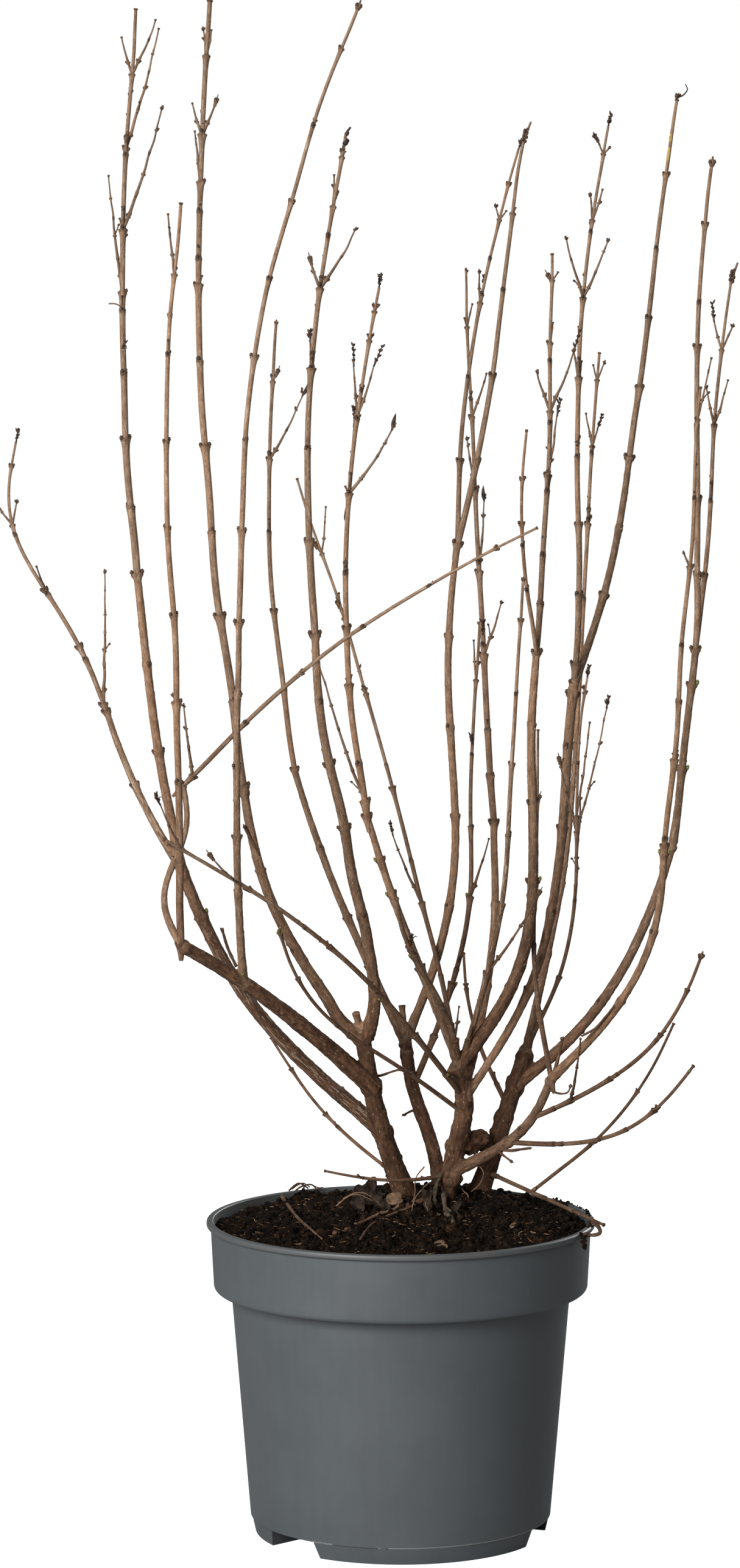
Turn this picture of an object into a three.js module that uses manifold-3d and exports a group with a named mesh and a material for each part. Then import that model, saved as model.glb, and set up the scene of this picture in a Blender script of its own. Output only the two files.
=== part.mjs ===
// A bare lilac shrub: trunks, boughs and leafless twigs from one root crown, in a nursery pot of soil.
// Millimetres. +X is right, +Y is back, +Z is up, and the origin is the middle of the pot's flat underside.
import * as THREE from 'three';
import { mergeVertices } from 'three/addons/utils/BufferGeometryUtils.js';
import Module from 'manifold-3d';

const wasm = await Module();
wasm.setup();

// ---------------------------------------------------------------- driving sizes

const GAP = 0.3; // clear space between neighbouring solids
const PARTING = { near: 2, cut: 1.15 }; // in gaps: limbs nearer than this touch, and the later is cut back
const TINY = 1e-6; // less than this counts as nothing
const MERGE = 1e-4; // corners nearer than this are one
const WALL = 1.6; // pot wall

const POT = {
  rimRadius: 115,
  rimTop: 186.8,
  beadHeight: 3.6,
  collarTopRadius: 112.6,
  collarFootRadius: 110.8,
  collarFoot: 145.6,
  collarRound: 3,
  bodyTopRadius: 100.5,
  bodyFootRadius: 89.2,
  skirtTopRadius: 88.5,
  skirtFootRadius: 86.4,
  skirtHeight: 10.1,
  floor: 1.8,
  floorInset: 1.5,
  sides: 32,
};

// Three channels under the pot drain it, with a hole through the roof of each; they part the skirt into three
// feet. Their bearings are counted from the front towards the right.
const CHANNEL = { bearings: [-47, 72, 191], mouthWidth: 42, roofWidth: 36, inner: 38, length: 60 };
const DRAIN_HOLE = { radius: 5, fromMiddle: 50, length: 30.3, sides: 12 };

// The soil's height: level at the edge, a little higher at the back, mounded round the trunks, and lumpy.
const SOIL = { edge: 181, mound: 14.5, moundX: 25, moundY: 32, moundSpread: 58, backTilt: 0.025, rings: 5 };
const LUMPS = { height: 1.2, across: 9, along: 11, skew: 23, phase: 1 };
const OVER_RIM = { hollow: 4, fill: 20 }; // how far the pot's hollow and the uncut soil run past the rim

const TRUNK_FOOT = 192; // height of the flat cut under the trunks, just under the soil's surface
const FLARE = { share: 0.22, reach: 13 }; // how much wider the root flare is at the cut, and how high it runs
const SECTION = { trunk: 10, bough: 7, leader: 5, twig: 3 }; // sides of each kind of limb
const RING_SPACING = { trunk: 12, bough: 24, leader: 34 }; // length of limb between two rings
const FEWEST_RINGS = 3;
const SAMPLES = { limb: 48, twig: 12, twigRoot: 4 }; // steps along a limb where its clearance is tested

// A twig leaves its leader at this angle, then turns towards the sky. It is never thicker than `ofLeader` of
// its leader. One shorter than `shortest` is only a bud, and one longer than `bent` has a ring at its bend.
const TWIG = { angle: 24, rise: 0.35, thickness: 2.4, ofLeader: 0.9, clearance: 0.7, shortest: 14, bent: 26 };

// Nodes alternate: one internode below a node that spreads left and right, another spreads front and back.
// Its twigs are these shares of the mean length of the pair above, plus up to a seeded `more`.
const CROSS = { internode: 46, front: 0.15, frontMore: 0.35, back: 0.6, backMore: 0.8 };
const FIRST_SEED = 1000; // of the first mass; each later mass has the next one

// ---------------------------------------------------------------- the limbs
// Each limb runs from its foot to its tip. Its middle bows aside by `bow`, and `sway` swings its lower half
// one way and its upper half the other. `at` is the share of the parent's length where it grows,
// and girth holds its diameters at foot and tip. All tips, bows and sways are [right, back, up].

const TRUNKS = [
  { name: 'trunk_left', foot: [5, 30], tip: [-22, 8, 293], bow: [-2, 0, 0], girth: [13, 9.5] },
  { name: 'trunk_inner', foot: [24, 50], tip: [3, 52, 285], sway: [2, 0, 0], girth: [8.5, 8] },
  { name: 'trunk_centre', foot: [29, 22], tip: [35, 14, 276], bow: [3, 0, 0], sway: [-2, 0, 0],
    girth: [11.5, 11] },
  { name: 'trunk_right', foot: [46, 42], tip: [75, 42, 279], bow: [1, 0, 0], girth: [12, 9.5] },
];

const BOUGHS = [
  { name: 'trunk_low_right', from: 'trunk_centre', at: 0.23, tip: [88, -22, 274], bow: [10, 0, -5],
    girth: [7, 5] },
  { name: 'old_stub', from: 'trunk_centre', at: 0.42, tip: [51, 28, 231], bow: [0, 0, 2], girth: [9, 8] },
  { name: 'bough_left', from: 'trunk_left', at: 0.7, tip: [-127, -62, 358], bow: [1, 0, 5],
    girth: [10.5, 7.5] },
  { name: 'bough_low_left', from: 'trunk_left', at: 0.41, tip: [-130, 5, 396], bow: [-15, 8, -8],
    girth: [9, 7] },
  { name: 'stem_far_left', from: 'bough_low_left', at: 1, tip: [-174, 25, 486], bow: [-3, 0, -2],
    girth: [5, 3.8] },
  { name: 'stem_outer_left', from: 'bough_low_left', at: 1, tip: [-153, -28, 570], bow: [-3, 0, 0],
    girth: [6, 4.6] },
  { name: 'stem_crossing', from: 'bough_left', at: 1, tip: [-126, -48, 449], bow: [-6, 0, 0],
    sway: [-6, 0, 0], girth: [4.2, 3.4] },
  { name: 'stem_left', from: 'bough_left', at: 0.69, tip: [-92, -105, 546], bow: [-3, -8, 2],
    girth: [5, 3.4] },
  { name: 'stem_inner_left', from: 'trunk_left', at: 1, tip: [-93, 20, 442], bow: [-14, 4, -7],
    girth: [7.4, 5.2] },
  { name: 'stem_mid_left', from: 'trunk_left', at: 1, tip: [-50, -30, 535], bow: [6, 0, 0], sway: [6, 0, 0],
    girth: [7.6, 4.6] },
  { name: 'stem_behind_left', from: 'trunk_inner', at: 1, tip: [-64, 100, 445], bow: [-4, 0, -2],
    girth: [5.6, 4] },
  { name: 'stem_mid', from: 'trunk_inner', at: 1, tip: [34, 52, 584], bow: [13, -12, 0], sway: [7, 0, 0],
    girth: [5.6, 4] },
  { name: 'stem_centre_left', from: 'trunk_centre', at: 1, tip: [-20, -28, 429], bow: [-2, 0, 0],
    girth: [5.6, 4.2] },
  { name: 'stem_centre_right', from: 'trunk_centre', at: 1, tip: [78, -38, 525], bow: [21, 0, -5],
    sway: [7, 0, -4], girth: [8.4, 4.4] },
  { name: 'stem_right', from: 'trunk_centre', at: 0.76, tip: [102, 12, 504], bow: [21, 0, -5],
    sway: [4, 0, -2], girth: [5, 6] },
  { name: 'stem_outer_right', from: 'stem_right', at: 1, tip: [137, 70, 635], bow: [4, 0, -2],
    girth: [5, 4] },
  { name: 'stem_slender_right', from: 'trunk_centre', at: 0.81, tip: [57, 88, 414], bow: [7, 0, -1],
    girth: [5.4, 4.4] },
  { name: 'stem_mid_right', from: 'trunk_right', at: 1, tip: [106, 78, 462], bow: [5, 0, 0],
    girth: [5.4, 3.2] },
  { name: 'bough_right', from: 'trunk_right', at: 0.79, tip: [162, 30, 408], bow: [14, 0, -8],
    sway: [0, 0, -2], girth: [7.2, 4.8] },
  { name: 'stem_far_right', from: 'bough_right', at: 1, tip: [174, 22, 523], bow: [1, 0, 0],
    girth: [4.8, 4.4] },
  { name: 'stem_low_right', from: 'trunk_low_right', at: 1, tip: [151, -62, 415], bow: [17, 0, -7],
    girth: [5.4, 4] },
];

// Stubs of stems that were cut off long ago, each fused to the trunk that it stands on.
const CUTS = [
  { from: 'trunk_left', at: 0.93, tip: [-26, 12, 309], girth: [4.6, 4.2] },
  { from: 'trunk_inner', at: 0.94, tip: [1, 55, 307], girth: [3.8, 4] },
];

// A mass is one leader with the twigs that grow on it. `pairs` lists the nodes whose twigs spread left and
// right, as [share of the leader, left length, right length, angle], the angle only where it isn't the usual
// one; a fork is a second leader on the same foot.
const MASSES = [
  { name: 'twigs_far_left', from: 'stem_far_left', at: 1, tip: [-230, 70, 645], bow: [-15, 0, 0],
    sway: [6, 0, 0], girth: [3.3, 1.4],
    pairs: [[0.03, 0, 80, 22], [0.24, 3, 3], [0.45, 3, 0], [0.69, 20, 15, 26], [0.91, 3, 3]] },
  { name: 'twigs_outer_left', from: 'stem_outer_left', at: 1, tip: [-150, -75, 891], bow: [-9, 0, 2],
    girth: [4.6, 1.8], pairs: [[0.5, 67, 0, 8], [0.61, 7, 73, 20], [0.755, 3, 70, 15], [0.885, 22, 34]] },
  { name: 'twigs_elbow', from: 'bough_left', at: 1, tip: [-122, -150, 780], bow: [-6, 0, 4], sway: [3, 0, 0],
    girth: [4.6, 1.8], pairs: [[0.33, 5, 0], [0.905, 34, 4, 12]] },
  { name: 'twigs_crossing', from: 'stem_crossing', at: 1, tip: [76, -104, 600], bow: [-7, 0, 11],
    girth: [3, 1.4], pairs: [[0.03, 44, 0, 50], [0.9, 3, 3]] },
  { name: 'twigs_left', from: 'stem_left', at: 1, tip: [-24, -112, 891], bow: [-19, -10, 5],
    girth: [3.4, 1.8], pairs: [[0.42, 3, 3], [0.925, 3, 3]] },
  { name: 'twigs_inner_left', from: 'stem_inner_left', at: 1, tip: [-114, 95, 908], bow: [-15, 0, -2],
    girth: [5, 2.8], pairs: [[0.64, 3, 6], [0.77, 31, 0, 10], [0.83, 20, 24], [0.93, 17, 16, 10]] },
  { name: 'twigs_mid_left', from: 'stem_mid_left', at: 1, tip: [-32, -45, 822], bow: [-11, 0, 2],
    girth: [4.6, 1.8], pairs: [[0.53, 16, 10, 8], [0.69, 20, 40, 30], [0.855, 18, 10, 8], [0.955, 4, 4]] },
  { name: 'twigs_behind_left', from: 'stem_behind_left', at: 1, tip: [-76, 165, 717], bow: [-10, 0, 0],
    girth: [3.6, 1.8], pairs: [[0.69, 3, 45, 31], [0.865, 4, 9]] },
  { name: 'twigs_mid', from: 'stem_mid', at: 1, tip: [73, 40, 826], bow: [3, 0, 0], sway: [2, 0, 0],
    girth: [4, 1.8], pairs: [[0.81, 3, 4]], fork: { tip: [71, 92, 820], bow: [-10, 0, 0], girth: [3.2, 1.4],
    pairs: [[0.61, 19, 5, 14], [0.82, 9, 7, 32], [0.91, 3, 0]] } },
  { name: 'twigs_inner_mid', from: 'trunk_inner', at: 0.7, tip: [49, 128, 533], bow: [15, 0, -4],
    sway: [5, 0, 0], girth: [4, 1.6], pairs: [[0.42, 0, 38, 16], [0.88, 25, 11, 8]] },
  { name: 'twigs_centre_left', from: 'stem_centre_left', at: 1, tip: [-13, -62, 735], bow: [-16, 0, 2],
    girth: [4.2, 1.6],
    pairs: [[0.03, 86, 0, 14], [0.25, 4, 6], [0.61, 5, 45, 36], [0.76, 31, 33, 14], [0.9, 4, 4, 30],
      [0.955, 4, 4]] },
  { name: 'twigs_knob', from: 'trunk_centre', at: 1, tip: [-3, -52, 384], sway: [3, 0, 0], girth: [4.2, 2.4],
    pairs: [[0.16, 0, 24, 20], [0.7, 4, 4]] },
  { name: 'twigs_long_shoot', from: 'trunk_centre', at: 0.95, tip: [-63, 140, 621], bow: [7, 0, 0],
    girth: [3.3, 1.4],
    pairs: [[0.28, 45, 0, 14], [0.47, 0, 3], [0.63, 4, 4, 30], [0.76, 12, 0, 8], [0.87, 9, 30]] },
  { name: 'twigs_slender_right', from: 'stem_slender_right', at: 1, tip: [41, 165, 749], bow: [-1, 0, 0],
    girth: [4.4, 1.4],
    pairs: [[0.3, 0, 34, 26], [0.45, 0, 44, 8], [0.6, 32, 0, 8], [0.73, 2, 29], [0.895, 6, 15, 18]] },
  { name: 'twigs_pale', from: 'trunk_centre', at: 1, tip: [68, -105, 571], bow: [10, 0, 0], sway: [3, 0, 0],
    girth: [4, 1.6], pairs: [[0.2, 0, 62], [0.92, 3, 3]] },
  { name: 'twigs_centre_right', from: 'stem_centre_right', at: 1, tip: [85, -70, 754], bow: [2, 0, 0],
    girth: [3.8, 1.6], pairs: [[0.45, 0, 38, 8], [0.61, 24, 40], [0.78, 0, 12, 8], [0.935, 5, 6, 45]],
    fork: { tip: [69, -125, 655], bow: [-5, 0, 0], girth: [2.6, 1.4], pairs: [[0.59, 0, 3], [0.79, 2, 2]] } },
  { name: 'twigs_right', from: 'stem_right', at: 1, tip: [119, -20, 828], bow: [-8, 0, 3], sway: [3, 0, 0],
    girth: [4, 1.5], pairs: [[0.545, 16, 10, 13], [0.69, 36, 36], [0.83, 15, 19, 14], [0.95, 6, 5, 40]] },
  { name: 'twigs_outer_right', from: 'stem_outer_right', at: 1, tip: [167, 112, 850], sway: [1, 0, 0],
    girth: [4, 1.9], pairs: [[0.79, 3, 3]] },
  { name: 'twigs_mid_right', from: 'stem_mid_right', at: 1, tip: [122, 135, 698], bow: [-1, 0, 0],
    girth: [3.2, 1.6], pairs: [[0.56, 2, 5], [0.76, 21, 14, 17], [0.93, 10, 12]] },
  { name: 'twigs_low_mid', from: 'trunk_right', at: 1, tip: [107, -48, 512], bow: [11, 0, 0], sway: [5, 0, 0],
    girth: [2.8, 1.3], pairs: [[0.6, 49, 80, 15], [0.64, 0, 60, 8], [0.96, 4, 0]] },
  { name: 'twigs_back_shoot', from: 'trunk_right', at: 0.62, tip: [40, 150, 326], bow: [-6, 0, -2],
    girth: [3.2, 1.7], pairs: [[0.5, 4, 16], [0.78, 4, 4]] },
  { name: 'twigs_far_right', from: 'stem_far_right', at: 1, tip: [178, -35, 808], bow: [-4, 0, 2],
    sway: [2, 0, 0], girth: [4, 2], pairs: [[0.62, 3, 3], [0.87, 3, 3]], fork: { tip: [197, 60, 744],
    sway: [2, 0, 0], girth: [3.3, 1.5], pairs: [[0.6, 23, 28, 18], [0.8, 21, 16]] } },
  { name: 'twigs_upright', from: 'trunk_low_right', at: 1, tip: [82, 45, 474], bow: [-6, 0, -2],
    sway: [-2, 0, 0], girth: [3.4, 1.5], pairs: [[0.8, 4, 4]] },
  { name: 'twigs_low_right', from: 'stem_low_right', at: 1, tip: [166, -120, 679], bow: [2, 0, 2],
    girth: [3.6, 1.5], pairs: [[0.19, 4, 4], [0.61, 9, 0, 34], [0.93, 0, 36, 12]] },
  { name: 'shoot_right_high', from: 'trunk_low_right', at: 0.66, tip: [169, -118, 360], bow: [16, 0, -10],
    girth: [3.3, 1.8], pairs: [[0.16, 60, 0, 40], [0.34, 3, 3], [0.62, 3, 4], [0.84, 3, 3]] },
  { name: 'shoot_right_low', from: 'trunk_low_right', at: 0.41, tip: [168, -70, 289], bow: [10, 0, -17],
    girth: [3.3, 1.8], pairs: [[0.2, 3, 3], [0.55, 2, 3], [0.72, 4, 4]] },
  { name: 'shoot_rim', from: 'trunk_right', at: 0.18, tip: [118, -48, 192], girth: [3, 1.8],
    pairs: [[0.5, 4, 0]] },
  { name: 'shoot_back_right', from: 'shoot_rim', at: 0.39, tip: [165, 60, 295], bow: [9, 0, -6],
    girth: [2.4, 1.6], pairs: [[0.35, 3, 3], [0.65, 3, 3]] },
  { name: 'shoot_low_left', from: 'trunk_left', at: 0.14, tip: [-78, 62, 286], bow: [-7, 0, -4],
    girth: [2.4, 1.6], pairs: [[0.5, 3, 3], [0.8, 3, 3]] },
  { name: 'shoot_ground_left', from: 'trunk_centre', at: 0.21, tip: [-45, -20, 219], bow: [0, -8, -3],
    girth: [2.8, 1.4], pairs: [[0.72, 4, 4]] },
  { name: 'shoot_front', from: 'trunk_centre', at: 0.77, tip: [-134, -125, 426], bow: [10, -22, 15],
    girth: [3.8, 1.9], pairs: [[0.52, 4, 4], [0.76, 4, 3], [0.95, 9, 32, 30]] },
  { name: 'shoot_front_low', from: 'trunk_centre', at: 0.66, tip: [-70, -88, 370], bow: [-13, 0, -7],
    sway: [3, 0, 2], girth: [2.9, 1.8], pairs: [[0.5, 3, 4], [0.8, 3, 0]] },
];

// ---------------------------------------------------------------- materials

function finish(colour, roughness) {
  return new THREE.MeshStandardMaterial({ color: colour, roughness, metalness: 0 });
}

const MATERIALS = {
  pot: finish(0x5b6366, 0.55),
  soil: finish(0x231811, 0.98),
  trunk: finish(0x6f5040, 0.9),
  bough: finish(0x7b5c48, 0.85),
  twigs: finish(0x8a6c55, 0.75),
};

// ---------------------------------------------------------------- solids

// A closed three.js geometry as a manifold-3d solid, turned outwards if its faces point in.
function solidFrom(geometry) {
  const bare = geometry.clone();
  bare.deleteAttribute('normal');
  bare.deleteAttribute('uv');
  const merged = mergeVertices(bare, MERGE);
  const build = (triVerts) => new wasm.Manifold(new wasm.Mesh({
    numProp: 3,
    vertProperties: new Float32Array(merged.attributes.position.array),
    triVerts,
  }));
  const faces = new Uint32Array(merged.index.array);
  const solid = build(faces);
  return solid.volume() > 0 ? solid : build(faces.reverse());
}

function meshFrom(name, solid, material) {
  const mesh = solid.getMesh();
  const geometry = new THREE.BufferGeometry();
  geometry.setAttribute('position', new THREE.BufferAttribute(new Float32Array(mesh.vertProperties), 3));
  geometry.setIndex(new THREE.BufferAttribute(new Uint32Array(mesh.triVerts), 1));
  geometry.computeVertexNormals();
  const part = new THREE.Mesh(geometry, material);
  part.name = name;
  return part;
}

// The largest of a solid's separate bodies.
function largestBody(solid) {
  return solid.decompose().reduce((best, body) => (body.volume() > best.volume() ? body : best));
}

function lathe(profile) {
  const points = profile.map(([radius, height]) => new THREE.Vector2(radius, height));
  const geometry = new THREE.LatheGeometry(points, POT.sides);
  geometry.rotateX(Math.PI / 2);
  return geometry;
}

// ---------------------------------------------------------------- pot and soil

function potOutside() {
  const p = POT;
  return [
    [0, 0],
    [p.skirtFootRadius, 0],
    [p.skirtTopRadius, p.skirtHeight],
    [p.bodyFootRadius, p.skirtHeight],
    [p.bodyTopRadius, p.collarFoot],
    [p.collarFootRadius - p.collarRound, p.collarFoot],
    [p.collarFootRadius, p.collarFoot + p.collarRound],
    [p.collarTopRadius, p.rimTop - p.beadHeight],
    [p.rimRadius, p.rimTop - p.beadHeight],
    [p.rimRadius, p.rimTop],
    [0, p.rimTop],
  ];
}

// The pot's inside, drawn in by `inset` more than its wall, up to the height `top`.
function potInside(inset, top) {
  const p = POT;
  const draw = WALL + inset;
  const ledge = p.collarFoot + draw;
  return [
    [0, p.floor + inset],
    [p.skirtTopRadius - draw - p.floorInset, p.floor + inset],
    [p.bodyFootRadius - draw, p.skirtHeight + inset],
    [p.bodyTopRadius - draw, ledge],
    [p.collarFootRadius - p.collarRound - draw, ledge],
    [p.collarFootRadius - draw, ledge + p.collarRound],
    [p.collarTopRadius - draw, top],
    [0, top],
  ];
}

// One drainage channel: a bar of trapezoid section that runs out from the middle, grown all round by `grow`.
function channelBar(bearing, grow) {
  const foot = CHANNEL.mouthWidth / 2 + grow;
  const roof = CHANNEL.roofWidth / 2 + grow;
  const height = POT.skirtHeight + grow;
  const section = new THREE.Shape([
    new THREE.Vector2(-foot, -1),
    new THREE.Vector2(foot, -1),
    new THREE.Vector2(roof, height),
    new THREE.Vector2(-roof, height),
  ]);
  const geometry = new THREE.ExtrudeGeometry(section, { depth: CHANNEL.length + grow, bevelEnabled: false });
  geometry.rotateX(Math.PI / 2);
  geometry.translate(0, grow - CHANNEL.inner, 0);
  geometry.rotateZ(THREE.MathUtils.degToRad(bearing));
  return solidFrom(geometry);
}

function drainHole(bearing) {
  const { radius, length, sides } = DRAIN_HOLE;
  const geometry = new THREE.CylinderGeometry(radius, radius, length, sides);
  geometry.rotateX(Math.PI / 2);
  geometry.translate(0, -DRAIN_HOLE.fromMiddle, 0);
  geometry.rotateZ(THREE.MathUtils.degToRad(bearing));
  return solidFrom(geometry);
}

// The pot's hollow: its inside less the channels' roofs and sides.
function hollow(inset, top) {
  const inside = solidFrom(lathe(potInside(inset, top)));
  return CHANNEL.bearings.reduce(
    (solid, bearing) => solid.subtract(channelBar(bearing, WALL + inset)), inside);
}

function pot() {
  const outside = solidFrom(lathe(potOutside())).subtract(hollow(0, POT.rimTop + OVER_RIM.hollow));
  return CHANNEL.bearings.reduce(
    (solid, bearing) => solid.subtract(channelBar(bearing, 0)).subtract(drainHole(bearing)), outside);
}

function soilHeight(x, y) {
  const away = Math.hypot(x - SOIL.moundX, y - SOIL.moundY) / SOIL.moundSpread;
  const acrossWave = Math.sin(x / LUMPS.across + LUMPS.phase);
  const alongWave = Math.cos(y / LUMPS.along - x / LUMPS.skew);
  const level = SOIL.edge + SOIL.backTilt * y + SOIL.mound * Math.exp(-away * away);
  return level + LUMPS.height * acrossWave * alongWave;
}

// Soil fills the pot. Its top is a grid of rings raised to the soil's height, with a flat seat under each
// trunk.
function soil(seats) {
  const fill = hollow(GAP, POT.rimTop + OVER_RIM.fill);
  const reach = POT.rimRadius;
  const profile = [[0, -1], [reach, -1]];
  for (let ring = SOIL.rings; ring >= 0; ring -= 1) profile.push([(reach * ring) / SOIL.rings, POT.rimTop]);
  const cover = lathe(profile);
  const place = cover.attributes.position;
  for (let i = 0; i < place.count; i += 1) {
    if (place.getZ(i) > 0) place.setZ(i, soilHeight(place.getX(i), place.getY(i)));
  }
  const level = fill.intersect(solidFrom(cover));
  return largestBody(seats.reduce((solid, seat) => solid.subtract(seat), level));
}

// ---------------------------------------------------------------- limbs

const UP = new THREE.Vector3(0, 0, 1);
const BACK = new THREE.Vector3(0, 1, 0);

// The line that a limb follows, as a point at each share of its length.
class LimbLine extends THREE.Curve {
  constructor(foot, limb) {
    super();
    this.foot = foot;
    this.tip = new THREE.Vector3(...limb.tip);
    this.bow = new THREE.Vector3(...(limb.bow ?? [0, 0, 0]));
    this.sway = new THREE.Vector3(...(limb.sway ?? [0, 0, 0]));
  }

  getPoint(share, target = new THREE.Vector3()) {
    return target.lerpVectors(this.foot, this.tip, share)
      .addScaledVector(this.bow, Math.sin(Math.PI * share))
      .addScaledVector(this.sway, Math.sin(2 * Math.PI * share));
  }
}

// The ends and middle of a twig: out from its leader, then up.
function twigLine(foot, along, out, length, degrees) {
  const across = out.clone().addScaledVector(along, -out.dot(along)).normalize();
  const angle = THREE.MathUtils.degToRad(degrees);
  const first = along.clone().multiplyScalar(Math.cos(angle)).addScaledVector(across, Math.sin(angle));
  const second = first.clone().multiplyScalar(1 - TWIG.rise).addScaledVector(UP, TWIG.rise).normalize();
  const middle = foot.clone().addScaledVector(first, length / 2);
  const tip = middle.clone().addScaledVector(second, length / 2);
  return new THREE.QuadraticBezierCurve3(foot, middle, tip);
}

// A tapering tube along a line, bent from a plain cylinder, or from a cone where it ends in a point.
// `grow` widens it and lengthens its ends by as much.
function tube({ line, radius, sides, rings, flatFoot = false, pointed = false }, grow = 0) {
  const geometry = new THREE.CylinderGeometry(pointed ? 0 : 1, 1, 1, sides, rings);
  const place = geometry.attributes.position;
  const wider = grow / Math.cos(Math.PI / sides);
  for (let i = 0; i < place.count; i += 1) {
    const share = place.getY(i) + 0.5;
    const atFoot = share < TINY;
    const atTip = share > 1 - TINY;
    const along = flatFoot && atFoot ? UP.clone() : line.getTangent(share);
    const sideways = BACK.clone().cross(along).normalize();
    const outward = sideways.clone().cross(along);
    const ring = new THREE.Vector2(place.getX(i), place.getZ(i));
    if (ring.length() > TINY) ring.setLength(radius(share) + wider);
    const point = line.getPoint(share)
      .addScaledVector(sideways, ring.x)
      .addScaledVector(outward, ring.y)
      .addScaledVector(along, grow * (Number(atTip) - Number(atFoot)));
    place.setXYZ(i, point.x, point.y, point.z);
  }
  return solidFrom(geometry);
}

function taper(girth, share) {
  return THREE.MathUtils.lerp(girth[0], girth[1], share) / 2;
}

// Points and radii along a tube, for telling how near two limbs come.
function samples(shape, count) {
  return Array.from({ length: count + 1 }, (_, i) => {
    const share = i / count;
    return { point: shape.line.getPoint(share), radius: shape.radius(share) };
  });
}

function clearance(a, b) {
  let least = Infinity;
  for (const p of a) {
    for (const q of b) least = Math.min(least, p.point.distanceTo(q.point) - p.radius - q.radius);
  }
  return least;
}

const grown = new Map(); // every limb so far, by name

// The shape of a trunk, bough or leader, with its foot on its parent or on the soil.
function shapeOf(limb, kind) {
  const foot = limb.foot
    ? new THREE.Vector3(limb.foot[0], limb.foot[1], TRUNK_FOOT)
    : grown.get(limb.from).line.getPoint(limb.at);
  const line = new LimbLine(foot, limb);
  const length = line.getLength();
  const flare = (share) => (limb.foot ? 1 + FLARE.share * Math.exp((-share * length) / FLARE.reach) : 1);
  const shape = {
    line,
    radius: (share) => taper(limb.girth, share) * flare(share),
    sides: SECTION[kind],
    rings: Math.max(FEWEST_RINGS, Math.round(length / RING_SPACING[kind])),
    flatFoot: Boolean(limb.foot),
    length,
  };
  shape.near = samples(shape, SAMPLES.limb);
  return shape;
}

// A limb less the room of every limb that came before it and that it would touch.
function fitted(solid, near, others) {
  const touched = others.filter((other) => clearance(near, other.near) < PARTING.near * GAP);
  return largestBody(touched.reduce((rest, other) => rest.subtract(tube(other, PARTING.cut * GAP)), solid));
}

// A seeded run of numbers from 0 to 1.
function seeded(seed) {
  let state = seed;
  return () => {
    state = (Math.imul(state, 1664525) + 1013904223) >>> 0;
    return state / 4294967296;
  };
}

// The twigs of one leader. Each listed node spreads them left and right, and the node below it spreads a pair
// front and back, with seeded lengths.
function twigsOf(leader, pairs, random) {
  const twigs = [];
  const add = (share, out, length, degrees) => {
    if (length < TWIG.shortest || share < 0) return;
    const foot = leader.line.getPoint(share);
    const line = twigLine(foot, leader.line.getTangent(share), out, length, degrees);
    const thick = Math.min(TWIG.thickness, 2 * TWIG.ofLeader * leader.radius(share));
    const shape = { line, radius: (s) => taper([thick, 0], s), sides: SECTION.twig, pointed: true,
      rings: length > TWIG.bent ? 2 : 1 };
    twigs.push({ ...shape, near: samples(shape, SAMPLES.twig) });
  };
  for (const [share, left, right, degrees = TWIG.angle] of pairs) {
    const mean = (left + right) / 2;
    const below = share - CROSS.internode / leader.length;
    add(share, new THREE.Vector3(-1, 0, 0), left, degrees);
    add(share, new THREE.Vector3(1, 0, 0), right, degrees);
    add(below, new THREE.Vector3(0, -1, 0), mean * (CROSS.front + CROSS.frontMore * random()), degrees);
    add(below, new THREE.Vector3(0, 1, 0), mean * (CROSS.back + CROSS.backMore * random()), degrees);
  }
  return twigs;
}

// A twig fits if its outer part is clear of every limb and of the twigs of the other masses.
function twigFits(twig, leader, others) {
  const outer = twig.near.slice(SAMPLES.twigRoot);
  return others.every((other) => other === leader || clearance(outer, other.near) > TWIG.clearance);
}

const plant = new THREE.Group();

// A limb's solid with the cut stubs that stand on it.
function withCuts(name, solid) {
  return CUTS.filter((cut) => cut.from === name).reduce((whole, cut) => {
    const shape = shapeOf(cut, 'bough');
    grown.set(`${name}_cut`, shape);
    return whole.add(tube(shape));
  }, solid);
}

// Trunks and boughs first, each cut clear of what it grows from.
for (const [kind, limbs] of [['trunk', TRUNKS], ['bough', BOUGHS]]) {
  for (const limb of limbs) {
    const shape = shapeOf(limb, kind);
    const solid = fitted(tube(shape), shape.near, [...grown.values()]);
    grown.set(limb.name, shape);
    plant.add(meshFrom(limb.name, withCuts(limb.name, solid), MATERIALS[kind]));
  }
}

// Then every leader, so that no twig of an early mass takes the room of a late one.
const masses = MASSES.map((mass) => {
  const leaders = [{ shape: shapeOf(mass, 'leader'), pairs: mass.pairs }];
  if (mass.fork) {
    const fork = shapeOf({ ...mass.fork, from: mass.from, at: mass.at }, 'leader');
    leaders.push({ shape: fork, pairs: mass.fork.pairs });
  }
  grown.set(mass.name, leaders[0].shape);
  return { name: mass.name, leaders };
});

const forks = masses.flatMap((mass) => mass.leaders.slice(1).map((fork) => fork.shape));
const taken = [...grown.values(), ...forks];

masses.forEach((mass, index) => {
  const random = seeded(FIRST_SEED + index);
  const before = taken.slice(0, taken.indexOf(mass.leaders[0].shape));
  let solid = null;
  const near = [];
  for (const { shape, pairs } of mass.leaders) {
    const twigs = twigsOf(shape, pairs, random).filter((twig) => twigFits(twig, shape, taken));
    const stems = [shape, ...twigs];
    for (const stem of stems) {
      const body = tube(stem);
      solid = solid ? solid.add(body) : body;
      near.push(...stem.near);
    }
    taken.push(...twigs);
  }
  plant.add(meshFrom(mass.name, fitted(solid, near, before), MATERIALS.twigs));
});

// ---------------------------------------------------------------- assembly

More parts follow.
